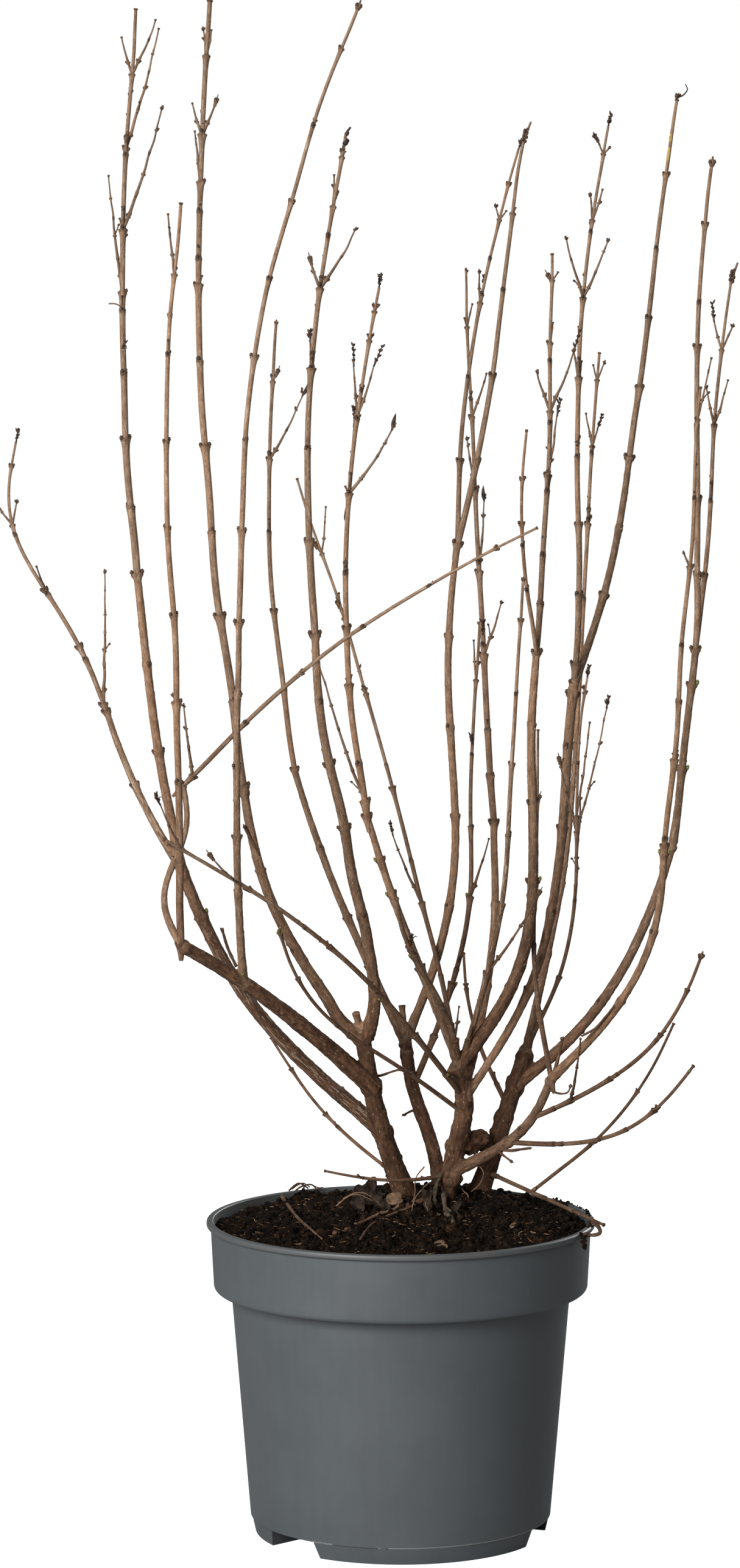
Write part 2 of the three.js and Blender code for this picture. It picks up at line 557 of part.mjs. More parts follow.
const seats = TRUNKS.map((trunk) => tube(grown.get(trunk.name), GAP));
plant.add(meshFrom('soil', soil(seats), MATERIALS.soil));
plant.add(meshFrom('pot', pot(), MATERIALS.pot));

export default plant;
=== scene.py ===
"""A bare lilac bush in a grey nursery pot.

Limbs are grown in millimetres by the part's own rule, with bark, nodes, buds, dried seed heads and finer
twigs added. Soil and pot are modelled finely. Pieces are in metres."""

import math

import bpy
import numpy as np
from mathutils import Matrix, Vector, kdtree


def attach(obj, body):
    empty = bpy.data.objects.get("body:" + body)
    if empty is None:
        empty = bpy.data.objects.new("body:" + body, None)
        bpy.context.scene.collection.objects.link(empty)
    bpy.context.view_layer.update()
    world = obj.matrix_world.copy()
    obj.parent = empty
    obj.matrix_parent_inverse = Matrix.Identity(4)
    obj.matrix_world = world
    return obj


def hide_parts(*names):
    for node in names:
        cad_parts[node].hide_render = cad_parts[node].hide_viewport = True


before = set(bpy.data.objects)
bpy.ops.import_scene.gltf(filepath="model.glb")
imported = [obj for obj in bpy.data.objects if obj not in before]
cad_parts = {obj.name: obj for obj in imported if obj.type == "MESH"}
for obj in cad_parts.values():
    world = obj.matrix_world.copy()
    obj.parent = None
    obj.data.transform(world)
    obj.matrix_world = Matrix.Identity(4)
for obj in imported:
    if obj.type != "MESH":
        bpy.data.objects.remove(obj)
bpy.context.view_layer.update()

MM = 0.001
UP = np.array([0.0, 0.0, 1.0])
BACK = np.array([0.0, 1.0, 0.0])

# ---------------------------------------------------------------- driving sizes (mm)

WALL = 1.6
POT = dict(rim_radius=115.0, rim_top=186.8, bead_height=3.6, collar_top_radius=112.6,
           collar_foot_radius=110.8, collar_foot=145.6, collar_round=3.0, body_top_radius=100.5,
           body_foot_radius=89.2, skirt_top_radius=88.5, skirt_foot_radius=86.4, skirt_height=10.1,
           floor=1.8, floor_inset=1.5)
CHANNEL = dict(bearings=(-47, 72, 191), mouth_width=42, roof_width=36, inner=38, length=60)
DRAIN_HOLE = dict(radius=5, from_middle=50, length=30.3)
SOIL = dict(edge=181, mound=14.5, mound_x=25, mound_y=32, mound_spread=58, back_tilt=0.025)
LUMPS = dict(height=1.2, across=9, along=11, skew=23, phase=1)

TRUNK_FOOT = 192.0
FLARE = dict(share=0.22, reach=13.0)
TWIG = dict(angle=24, rise=0.35, thickness=2.4, of_leader=0.9, clearance=0.7, shortest=14)
CROSS = dict(internode=46, front=0.15, front_more=0.35, back=0.6, back_more=0.8)
SAMPLES = dict(limb=48, twig=12, twig_root=4)  # steps along a limb where its clearance is tested
FIRST_SEED = 1000  # of the first mass's twigs; each later mass has the next one

# Where a leader goes on from its bough's end: from which share, the node there and how deep it starts inside
GOES_ON = dict(share=0.97, node=0.5, compass=14, swell=0.5, sunk=9.0)
PAIR_SWELL = 0.62  # how much a node with a pair of twigs widens its leader
CROSS_NODE = dict(compass=70, swell=0.5)
PLAIN_SWELL = dict(thick=0.1, slender=0.33, leader=0.6)  # of nodes without twigs
THICK_BOUGH = 6.5  # a bough thicker than this at its foot hardly shows its nodes
NODE_SPACING = 56.0  # longest bare stretch between two nodes
BARK_VOXEL = 0.79  # size of the cells in which the trunks and boughs are fused
BARK_BEND = 0.9  # how far the boughs' small natural bends go aside
LEADER_BEND = 1.1
BENDING = dict(length=60, fade=25)  # of one small bend, and of the stretch at a limb's end without any
SWELLING = dict(below=3.2, above=0.9)  # how far a node's swelling reaches on a bough
PATTERN_STEP = 37.0  # how far one limb's bark pattern is shifted from the next one's
# Sides of each kind of tube
ROUND = dict(bark=14, leader=12, side_twig=8, twig=7, twiglet=6, filament=6, strand=6, straw=4, lying=9,
             bud=8, cap=9, cup=6, capsule=8, hook=7, scrape=10)
SLICE = 330.0  # height where the fused bark is parted into two pieces

# ---------------------------------------------------------------- the limbs, as the part's source grows them

TRUNKS = [
    dict(name="trunk_left", foot=(5, 30), tip=(-22, 8, 293), bow=(-2, 0, 0), girth=(13, 9.5)),
    dict(name="trunk_inner", foot=(24, 50), tip=(3, 52, 285), sway=(2, 0, 0), girth=(8.5, 8)),
    dict(name="trunk_centre", foot=(29, 22), tip=(35, 14, 276), bow=(3, 0, 0), sway=(-2, 0, 0),
         girth=(11.5, 11)),
    dict(name="trunk_right", foot=(46, 42), tip=(75, 42, 279), bow=(1, 0, 0), girth=(12, 9.5)),
]

BOUGHS = [
    dict(name="trunk_low_right", of="trunk_centre", at=0.23, tip=(88, -22, 274), bow=(10, 0, -5),
         girth=(7, 5)),
    dict(name="old_stub", of="trunk_centre", at=0.42, tip=(51, 28, 231), bow=(0, 0, 2), girth=(9, 8)),
    dict(name="bough_left", of="trunk_left", at=0.7, tip=(-127, -62, 358), bow=(1, 0, 5),
         girth=(10.5, 7.5)),
    dict(name="bough_low_left", of="trunk_left", at=0.41, tip=(-130, 5, 396), bow=(-15, 8, -8),
         girth=(9, 7)),
    dict(name="stem_far_left", of="bough_low_left", at=1, tip=(-174, 25, 486), bow=(-3, 0, -2),
         girth=(5, 3.8)),
    dict(name="stem_outer_left", of="bough_low_left", at=1, tip=(-153, -28, 570), bow=(-3, 0, 0),
         girth=(6, 4.6)),
    dict(name="stem_crossing", of="bough_left", at=1, tip=(-126, -48, 449), bow=(-6, 0, 0), sway=(-6, 0, 0),
         girth=(4.2, 3.4)),
    dict(name="stem_left", of="bough_left", at=0.69, tip=(-92, -105, 546), bow=(-3, -8, 2), girth=(5, 3.4)),
    dict(name="stem_inner_left", of="trunk_left", at=1, tip=(-93, 20, 442), bow=(-14, 4, -7),
         girth=(7.4, 5.2)),
    dict(name="stem_mid_left", of="trunk_left", at=1, tip=(-50, -30, 535), bow=(6, 0, 0), sway=(6, 0, 0),
         girth=(7.6, 4.6)),
    dict(name="stem_behind_left", of="trunk_inner", at=1, tip=(-64, 100, 445), bow=(-4, 0, -2),
         girth=(5.6, 4)),
    dict(name="stem_mid", of="trunk_inner", at=1, tip=(34, 52, 584), bow=(13, -12, 0), sway=(7, 0, 0),
         girth=(5.6, 4)),
    dict(name="stem_centre_left", of="trunk_centre", at=1, tip=(-20, -28, 429), bow=(-2, 0, 0),
         girth=(5.6, 4.2)),
    dict(name="stem_centre_right", of="trunk_centre", at=1, tip=(78, -38, 525), bow=(21, 0, -5),
         sway=(7, 0, -4), girth=(8.4, 4.4)),
    dict(name="stem_right", of="trunk_centre", at=0.76, tip=(102, 12, 504), bow=(21, 0, -5),
         sway=(4, 0, -2), girth=(5, 6)),
    dict(name="stem_outer_right", of="stem_right", at=1, tip=(137, 70, 635), bow=(4, 0, -2), girth=(5, 4)),
    dict(name="stem_slender_right", of="trunk_centre", at=0.81, tip=(57, 88, 414), bow=(7, 0, -1),
         girth=(5.4, 4.4)),
    dict(name="stem_mid_right", of="trunk_right", at=1, tip=(106, 78, 462), bow=(5, 0, 0),
         girth=(5.4, 3.2)),
    dict(name="bough_right", of="trunk_right", at=0.79, tip=(162, 30, 408), bow=(14, 0, -8),
         sway=(0, 0, -2), girth=(7.2, 4.8)),
    dict(name="stem_far_right", of="bough_right", at=1, tip=(174, 22, 523), bow=(1, 0, 0),
         girth=(4.8, 4.4)),
    dict(name="stem_low_right", of="trunk_low_right", at=1, tip=(151, -62, 415), bow=(17, 0, -7),
         girth=(5.4, 4)),
]

# On the centre trunk, over a narrower foot
RING_BULGE = dict(centre=(29, 20, 207.5), radius=7.6, squash=(1, 1, 0.8), seed=5, foot=200.0, waist=0.33)

CUTS = [
    dict(of="trunk_left", at=0.93, tip=(-26, 12, 309), girth=(4.6, 4.2), crook=(-0.6, -6, 0.3)),
    dict(of="trunk_inner", at=0.94, tip=(1, 55, 307), girth=(3.8, 4)),
]

# Bends that show in the photo: (share along the limb, how far to the right, over what length)
BENDS = {"stem_mid_left": ((0.09, 3.8, 25), (0.41, -4.6, 30)),
         "stem_inner_left": ((0.08, -4.0, 16), (0.42, 1.6, 30)),
         "trunk_left": ((0.55, -1.8, 45),)}

MASSES = [
    dict(name="twigs_far_left", of="stem_far_left", at=1, tip=(-230, 70, 645), bow=(-15, 0, 0),
         sway=(6, 0, 0), girth=(3.3, 1.4), pairs=((0.03, 0, 80, 22), (0.24, 3, 3), (0.45, 3, 0),
                                                  (0.69, 20, 15, 26), (0.91, 3, 3))),
    dict(name="twigs_outer_left", of="stem_outer_left", at=1, tip=(-150, -75, 891), bow=(-9, 0, 2),
         girth=(4.6, 1.8), pairs=((0.5, 67, 0, 8), (0.61, 7, 73, 20), (0.755, 3, 70, 15), (0.885, 22, 34))),
    dict(name="twigs_elbow", of="bough_left", at=1, tip=(-122, -150, 780), bow=(-6, 0, 4), sway=(3, 0, 0),
         girth=(4.6, 1.8), pairs=((0.33, 5, 0), (0.905, 34, 4, 12))),
    dict(name="twigs_crossing", of="stem_crossing", at=1, tip=(76, -104, 600), bow=(-7, 0, 11),
         girth=(3, 1.4), pairs=((0.03, 44, 0, 50), (0.9, 3, 3))),
    dict(name="twigs_left", of="stem_left", at=1, tip=(-24, -112, 891), bow=(-19, -10, 5), girth=(3.4, 1.8),
         pairs=((0.42, 3, 3), (0.925, 3, 3))),
    dict(name="twigs_inner_left", of="stem_inner_left", at=1, tip=(-114, 95, 908), bow=(-15, 0, -2),
         girth=(5, 2.8), pairs=((0.64, 3, 6), (0.77, 31, 0, 10), (0.83, 20, 24), (0.93, 17, 16, 10))),
    dict(name="twigs_mid_left", of="stem_mid_left", at=1, tip=(-32, -45, 822), bow=(-11, 0, 2),
         girth=(4.6, 1.8), pairs=((0.53, 16, 10, 8), (0.69, 20, 40, 30), (0.855, 18, 10, 8),
                                  (0.955, 4, 4))),
    dict(name="twigs_behind_left", of="stem_behind_left", at=1, tip=(-76, 165, 717), bow=(-10, 0, 0),
         girth=(3.6, 1.8), pairs=((0.69, 3, 45, 31), (0.865, 4, 9))),
    dict(name="twigs_mid", of="stem_mid", at=1, tip=(73, 40, 826), bow=(3, 0, 0), sway=(2, 0, 0),
         girth=(4, 1.8), pairs=((0.81, 3, 4),),
         fork=dict(tip=(71, 92, 820), bow=(-10, 0, 0), girth=(3.2, 1.4),
                   pairs=((0.61, 19, 5, 14), (0.82, 9, 7, 32), (0.91, 3, 0)))),
    dict(name="twigs_inner_mid", of="trunk_inner", at=0.7, tip=(49, 128, 533), bow=(15, 0, -4),
         sway=(5, 0, 0), girth=(4, 1.6), pairs=((0.42, 0, 38, 16), (0.88, 25, 11, 8))),
    dict(name="twigs_centre_left", of="stem_centre_left", at=1, tip=(-13, -62, 735), bow=(-16, 0, 2),
         girth=(4.2, 1.6), pairs=((0.03, 86, 0, 14), (0.25, 4, 6), (0.61, 5, 45, 36), (0.76, 31, 33, 14),
                                  (0.9, 4, 4, 30), (0.955, 4, 4))),
    dict(name="twigs_knob", of="trunk_centre", at=1, tip=(-3, -52, 384), sway=(3, 0, 0), girth=(4.2, 2.4),
         pairs=((0.16, 0, 24, 20), (0.7, 4, 4))),
    dict(name="twigs_long_shoot", of="trunk_centre", at=0.95, tip=(-63, 140, 621), bow=(7, 0, 0),
         girth=(3.3, 1.4), pairs=((0.28, 45, 0, 14), (0.47, 0, 3), (0.63, 4, 4, 30), (0.76, 12, 0, 8),
                                  (0.87, 9, 30))),
    dict(name="twigs_slender_right", of="stem_slender_right", at=1, tip=(41, 165, 749), bow=(-1, 0, 0),
         girth=(4.4, 1.4), pairs=((0.3, 0, 34, 26), (0.45, 0, 44, 8), (0.6, 32, 0, 8), (0.73, 2, 29),
                                  (0.895, 6, 15, 18))),
    dict(name="twigs_pale", of="trunk_centre", at=1, tip=(68, -105, 571), bow=(10, 0, 0), sway=(3, 0, 0),
         girth=(4, 1.6), pairs=((0.2, 0, 62), (0.92, 3, 3))),
    dict(name="twigs_centre_right", of="stem_centre_right", at=1, tip=(85, -70, 754), bow=(2, 0, 0),
         girth=(3.8, 1.6), pairs=((0.45, 0, 38, 8), (0.61, 24, 40), (0.78, 0, 12, 8), (0.935, 5, 6, 45)),
         fork=dict(tip=(69, -125, 655), bow=(-5, 0, 0), girth=(2.6, 1.4),
                   pairs=((0.59, 0, 3), (0.79, 2, 2)))),
    dict(name="twigs_right", of="stem_right", at=1, tip=(119, -20, 828), bow=(-8, 0, 3), sway=(3, 0, 0),
         girth=(4, 1.5), pairs=((0.545, 16, 10, 13), (0.69, 36, 36), (0.83, 15, 19, 14), (0.95, 6, 5, 40))),
    dict(name="twigs_outer_right", of="stem_outer_right", at=1, tip=(167, 112, 850), sway=(1, 0, 0),
         girth=(4, 1.9), pairs=((0.79, 3, 3),)),
    dict(name="twigs_mid_right", of="stem_mid_right", at=1, tip=(122, 135, 698), bow=(-1, 0, 0),
         girth=(3.2, 1.6), pairs=((0.56, 2, 5), (0.76, 21, 14, 17), (0.93, 10, 12))),
    dict(name="twigs_low_mid", of="trunk_right", at=1, tip=(107, -48, 512), bow=(11, 0, 0), sway=(5, 0, 0),
         girth=(2.8, 1.3), pairs=((0.6, 49, 80, 15), (0.64, 0, 60, 8), (0.96, 4, 0))),
    dict(name="twigs_back_shoot", of="trunk_right", at=0.62, tip=(40, 150, 326), bow=(-6, 0, -2),
         girth=(3.2, 1.7), pairs=((0.5, 4, 16), (0.78, 4, 4))),
    dict(name="twigs_far_right", of="stem_far_right", at=1, tip=(178, -35, 808), bow=(-4, 0, 2),
         sway=(2, 0, 0), girth=(4, 2), pairs=((0.62, 3, 3), (0.87, 3, 3)),
         fork=dict(tip=(197, 60, 744), sway=(2, 0, 0), girth=(3.3, 1.5),
                   pairs=((0.6, 23, 28, 18), (0.8, 21, 16)))),
    dict(name="twigs_upright", of="trunk_low_right", at=1, tip=(82, 45, 474), bow=(-6, 0, -2),
         sway=(-2, 0, 0), girth=(3.4, 1.5), pairs=((0.8, 4, 4),)),
    dict(name="twigs_low_right", of="stem_low_right", at=1, tip=(166, -120, 679), bow=(2, 0, 2),
         girth=(3.6, 1.5), pairs=((0.19, 4, 4), (0.61, 9, 0, 34), (0.93, 0, 36, 12))),
    dict(name="shoot_right_high", of="trunk_low_right", at=0.66, tip=(169, -118, 360), bow=(16, 0, -10),
         girth=(3.3, 1.8), pairs=((0.16, 60, 0, 40), (0.34, 3, 3), (0.62, 3, 4), (0.84, 3, 3))),
    dict(name="shoot_right_low", of="trunk_low_right", at=0.41, tip=(168, -70, 289), bow=(10, 0, -17),
         girth=(3.3, 1.8), pairs=((0.2, 3, 3), (0.55, 2, 3), (0.72, 4, 4))),
    dict(name="shoot_rim", of="trunk_right", at=0.18, tip=(118, -48, 192), girth=(3, 1.8),
         pairs=((0.5, 4, 0),)),
    dict(name="shoot_back_right", of="shoot_rim", at=0.39, tip=(165, 60, 295), bow=(9, 0, -6),
         girth=(2.4, 1.6), pairs=((0.35, 3, 3), (0.65, 3, 3))),
    dict(name="shoot_low_left", of="trunk_left", at=0.14, tip=(-78, 62, 286), bow=(-7, 0, -4),
         girth=(2.4, 1.6), pairs=((0.5, 3, 3), (0.8, 3, 3))),
    dict(name="shoot_ground_left", of="trunk_centre", at=0.21, tip=(-45, -20, 219), bow=(0, -8, -3),
         girth=(2.8, 1.4), pairs=((0.72, 4, 4),)),
    dict(name="shoot_front", of="trunk_centre", at=0.77, tip=(-134, -125, 426), bow=(10, -22, 15),
         girth=(3.8, 1.9), pairs=((0.52, 4, 4), (0.76, 4, 3), (0.95, 9, 32, 30))),
    dict(name="shoot_front_low", of="trunk_centre", at=0.66, tip=(-70, -88, 370), bow=(-13, 0, -7),
         sway=(3, 0, 2), girth=(2.9, 1.8), pairs=((0.5, 3, 4), (0.8, 3, 0))),
]

# ---------------------------------------------------------------- numbers and noise


def seeded(seed):
    """The part's own run of numbers from 0 to 1."""
    state = seed
    while True:
        state = (state * 1664525 + 1013904223) & 0xFFFFFFFF
        yield state / 4294967296


def lattice(cells, seed):
    """A number from -1 to 1 for each cell of a grid."""
    x, y, z = np.moveaxis(cells.astype(np.int64), -1, 0)
    h = (x * 374761393 + y * 668265263 + z * 2147483647 + seed * 1274126177) & 0xFFFFFFFF
    h = ((h ^ (h >> 13)) * 1274126177) & 0xFFFFFFFF
    h = ((h ^ (h >> 16)) * 2246822519) & 0xFFFFFFFF
    return ((h ^ (h >> 15)) & 0xFFFF) / 32767.5 - 1.0


def noise(points, seed=0):
    """Smooth noise from -1 to 1 at each point; its lumps are one unit across."""
    cell = np.floor(points)
    f = points - cell
    f = f * f * (3 - 2 * f)
    total = np.zeros(len(points))
    for dx in (0, 1):
        for dy in (0, 1):
            for dz in (0, 1):
                weight = np.abs(1 - dx - f[:, 0]) * np.abs(1 - dy - f[:, 1]) * np.abs(1 - dz - f[:, 2])
                total += weight * lattice(cell + (dx, dy, dz), seed)
    return total


def unit(v):
    return v / np.maximum(np.linalg.norm(v, axis=-1, keepdims=True), 1e-9)


def towards(compass):
    """The level direction of a compass bearing in degrees; 0 is right and 90 is back."""
    bearing = math.radians(compass)
    return np.array([math.cos(bearing), math.sin(bearing), 0])


def smooth(low, high, value):
    t = np.clip((value - low) / (high - low), 0, 1)
    return t * t * (3 - 2 * t)


# ---------------------------------------------------------------- meshes


class Pile:
    """Many small bodies that become one joined piece, in mm. Each name is a number kept for every vertex."""

    def __init__(self, *names):
        self.names = names
        self.points, self.faces, self.values = [], [], []
        self.count = 0

    def add(self, points, faces, **values):
        self.points.append(points)
        self.faces.append([np.asarray(f) + self.count for f in faces])
        rows = [np.broadcast_to(np.asarray(values.get(n, 0.0), float), len(points)) for n in self.names]
        self.values.append(np.stack(rows, 1) if rows else np.zeros((len(points), 0)))
        self.count += len(points)

    def piece(self, name, material, slot, replaced=()):
        points = np.concatenate(self.points) * MM
        blocks = [b for group in self.faces for b in group if len(b)]
        sizes = np.concatenate([np.full(len(b), b.shape[1]) for b in blocks])
        loops = np.concatenate([b.ravel() for b in blocks])
        mesh = bpy.data.meshes.new(name)
        mesh.vertices.add(len(points))
        mesh.vertices.foreach_set("co", points.ravel())
        mesh.loops.add(len(loops))
        mesh.loops.foreach_set("vertex_index", loops)
        mesh.polygons.add(len(sizes))
        mesh.polygons.foreach_set("loop_start", np.concatenate([[0], np.cumsum(sizes)[:-1]]))
        mesh.update(calc_edges=True)
        mesh.validate()
        values = np.concatenate(self.values)
        for i, value in enumerate(self.names):
            mesh.attributes.new(value, "FLOAT", "POINT").data.foreach_set("value", values[:, i].copy())
        return finish_piece(name, mesh, material, replaced)


def finish_piece(name, mesh, material, replaced):
    mesh.polygons.foreach_set("use_smooth", np.ones(len(mesh.polygons), bool))
    mesh.materials.append(material)
    obj = bpy.data.objects.new(name, mesh)
    bpy.context.scene.collection.objects.link(obj)
    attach(obj, "root")
    if replaced:
        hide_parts(*replaced)
    return obj


def frames(tangents):
    """Two directions across each tangent, as the part's tubes have them."""
    sideways = unit(np.cross(BACK, tangents))
    return sideways, np.cross(sideways, tangents)


def turns(sides):
    """The angle of each corner of a ring."""
    return np.arange(sides) * 2 * math.pi / sides


def spokes(tangents, sides):
    """The directions from a line to the corners of its rings."""
    turn = turns(sides)
    sideways, outward = frames(tangents)
    return np.sin(turn)[None, :, None] * sideways[:, None] + np.cos(turn)[None, :, None] * outward[:, None]


def band(rings, sides):
    """The faces between neighbouring rings."""
    i, j = np.meshgrid(np.arange(rings - 1), np.arange(sides), indexing="ij")
    k = (j + 1) % sides
    corners = [i * sides + j, i * sides + k, (i + 1) * sides + k, (i + 1) * sides + j]
    return np.stack(corners, -1).reshape(-1, 4)


def closed(rings, sides):
    """The faces of a body of rings whose last two points are the middles of its ends."""
    j = np.arange(sides)
    k = (j + 1) % sides
    last = (rings - 1) * sides
    foot = np.stack([k, j, np.full(sides, rings * sides)], 1)
    tip = np.stack([last + j, last + k, np.full(sides, rings * sides + 1)], 1)
    return band(rings, sides), foot, tip


def heading(line):
    """The direction of a line at each of its points."""
    return unit(np.gradient(line, axis=0))


def tube(points, tangents, radii, sides):
    """Rings round a line, closed at both ends. Radii are one per ring, or one per ring and side."""
    radii = np.asarray(radii).reshape(len(points), -1, 1)
    rings = points[:, None] + radii * spokes(tangents, sides)
    return np.concatenate([rings.reshape(-1, 3), points[:1], points[-1:]]), closed(len(points), sides)


def strand(line, radii, sides=ROUND["strand"]):
    """A tube round a line of points."""
    return tube(line, heading(line), radii, sides)


# Outlines of small bodies: their width at even steps from foot to tip
PROFILES = dict(
    bud=(0.6, 0.93, 1.0, 0.93, 0.7, 0.24), core=(0.45, 0.85, 1.0, 0.82, 0.42, 0.12),
    ear=(0.2, 0.42, 0.7, 1.0, 1.12, 0.85), scar=(1.0, 0.85, 0.3), cap=(0.55, 0.62, 0.8, 1.0, 1.0, 0.9),
    stub=(1, 1, 0.95, 0.9, 0.85, 0.7), ragged=(1, 0.9, 0.8, 0.8, 0.9, 0.8),
    joint=(0.7, 0.9, 1.0, 0.85, 0.8, 0.6), pod=(0.25, 0.5, 0.95, 1.0, 0.7, 0.15),
    cup=(0.5, 0.7, 0.9, 1.1, 0.8, 0.5),
)


def lobe(kind, base, axis, length, width, sides=ROUND["bud"]):
    """A small body, such as a bud or a pod."""
    profile = np.array(PROFILES[kind], float)
    axis = unit(np.asarray(axis, float))
    points = base + axis * (np.linspace(0, 1, len(profile)) * length)[:, None]
    return tube(points, np.repeat(axis[None], len(points), 0), profile * width / 2, sides)


def along_rings(rings, sides):
    """How far along a tube each of its points lies, from 0 to 1."""
    return np.concatenate([np.repeat(np.linspace(0, 1, rings), sides), [0, 1]])


# ---------------------------------------------------------------- limbs


class Limb:
    """A limb's line and girth, as in the part's source, with gentle bends and swollen nodes of its own."""

    def __init__(self, foot, row, seed, rooted=False):
        self.foot = np.asarray(foot, float)
        self.tip = np.array(row["tip"], float)
        self.bow = np.array(row.get("bow", (0, 0, 0)), float)
        self.sway = np.array(row.get("sway", (0, 0, 0)), float)
        self.girth = row["girth"]
        self.name = row.get("name", "")
        self.crook = np.array(row.get("crook", (0, 0, 0)), float)
        self.rooted = rooted
        self.rng = np.random.default_rng(seed)
        self.seed = seed
        line = self.point(np.linspace(0, 1, 201))
        self.length = float(np.linalg.norm(np.diff(line, axis=0), axis=1).sum())
        self.sunk = 0.0  # how far its skin starts below its foot, inside the limb that it goes on from
        self.nodes = []  # (share, compass of the pair in degrees, swelling)
        self.greens = {}  # for a node's share, the bearings of its green buds

    def point(self, share):
        t = np.atleast_1d(share).astype(float)[:, None]
        return (self.foot + (self.tip - self.foot) * t + self.bow * np.sin(math.pi * t)
                + self.sway * np.sin(2 * math.pi * t))

    def tangent(self, share):
        share = np.atleast_1d(share).astype(float)
        step = 1e-4
        return unit(self.point(np.minimum(share + step, 1)) - self.point(share - step))

    def radius(self, share):
        share = np.asarray(share, float)
        r = (self.girth[0] + (self.girth[1] - self.girth[0]) * share) / 2
        if self.rooted:
            r = r * (1 + FLARE["share"] * np.exp(-share * self.length / FLARE["reach"]))
        return r

    def bent(self, share, amount):
        """The line with its small natural bends, which fade out at both ends, and those seen in the photo."""
        share = np.atleast_1d(share)
        p = self.point(share)
        s = share * self.length
        fade = np.clip(np.minimum(s, self.length - s) / BENDING["fade"], 0, 1)[:, None]
        rows = [np.stack([s / BENDING["length"], s * 0 + 5.3 * k, s * 0 + self.seed], 1) for k in range(3)]
        wander = np.stack([noise(row, k) for k, row in enumerate(rows)], 1)
        for middle, right, reach in BENDS.get(self.name, ()):
            p[:, 0] += right * np.exp(-((s - middle * self.length) / reach) ** 2)
        return p + wander * fade * amount * np.array([1, 1, 0.2]) + self.crook * share[:, None] ** 2

    def swollen(self, share):
        """Radius with its nodes: it widens to a shoulder at each node and starts thinner above it."""
        r = self.radius(share)
        for node, _, swell in self.nodes:
            d = (np.asarray(share) - node) * self.length
            below = np.exp(-np.clip(-d, 0, None) / SWELLING["below"])
            above = np.exp(-np.clip(d, 0, None) / SWELLING["above"])
            r = r * (1 + swell * np.where(d < 0, below, above))
        return r

    def samples(self, count):
        share = np.linspace(0, 1, count + 1)
        return self.point(share), self.radius(share)


class Twig:
    """A twig: out from its leader, then up."""

    def __init__(self, foot, along, out, length, thick, degrees):
        across = unit(out - along * np.dot(out, along))
        angle = math.radians(degrees)
        first = along * math.cos(angle) + across * math.sin(angle)
        second = unit(first * (1 - TWIG["rise"]) + UP * TWIG["rise"])
        self.a = foot
        self.b = foot + first * length / 2
        self.c = self.b + second * length / 2
        self.length = length
        self.thick = thick

    def point(self, share):
        t = np.atleast_1d(share).astype(float)[:, None]
        return self.a * (1 - t) ** 2 + self.b * 2 * t * (1 - t) + self.c * t ** 2

    def tangent(self, share):
        t = np.atleast_1d(share).astype(float)[:, None]
        return unit((self.b - self.a) * (1 - t) + (self.c - self.b) * t)

    def radius(self, share):
        return self.thick / 2 * (1 - np.asarray(share, float))

    def samples(self, count):
        share = np.linspace(0, 1, count + 1)
        return self.point(share), self.radius(share)


def clearance(a, b):
    (pa, ra), (pb, rb) = a, b
    return (np.linalg.norm(pa[:, None] - pb[None], axis=2) - ra[:, None] - rb[None]).min()


grown = {}  # every limb by its name
leaders = []  # (leader, pairs, index of its mass)
twigs = []  # (twig, leader, share, compass)
spurs = []  # short ones that the part's source leaves out
SEEDS = dict(cut=10, bough=20, leader=60, fork=160)  # of the first limb's small bends in each table


def start_of(row):
    """Where a limb leaves the one that it grows from."""
    return grown[row["of"]].point(row["at"])[0]


for number, row in enumerate(TRUNKS):
    grown[row["name"]] = Limb((*row["foot"], TRUNK_FOOT), row, number, rooted=True)
for number, row in enumerate(CUTS):
    grown[row["of"] + "_cut"] = Limb(start_of(row), row, SEEDS["cut"] + number)
for number, row in enumerate(BOUGHS):
    grown[row["name"]] = Limb(start_of(row), row, SEEDS["bough"] + number)
bark_limbs = dict(grown)
for number, row in enumerate(MASSES):
    leader = Limb(start_of(row), row, SEEDS["leader"] + number)
    grown[row["name"]] = leader
    leaders.append((leader, row["pairs"], number))
    if row["at"] > GOES_ON["share"]:
        leader.nodes.append((GOES_ON["node"] / leader.length, GOES_ON["compass"], GOES_ON["swell"]))
        leader.sunk = GOES_ON["sunk"]
    if "fork" in row:
        fork = dict(row["fork"], name=row["name"] + "_fork")
        leaders.append((Limb(start_of(row), fork, SEEDS["fork"] + number), fork["pairs"], number))

taken = [(limb, limb.samples(SAMPLES["limb"])) for limb in bark_limbs.values()]
taken += [(leader, leader.samples(SAMPLES["limb"])) for leader, _, _ in leaders]


def fits(twig, leader):
    """True if a twig keeps clear of all that has grown so far, apart from its own leader."""
    line, radius = twig.samples(SAMPLES["twig"])
    root = SAMPLES["twig_root"]
    body = (line[root:], radius[root:])
    return all(limb is leader or clearance(body, near) > TWIG["clearance"] for limb, near in taken)


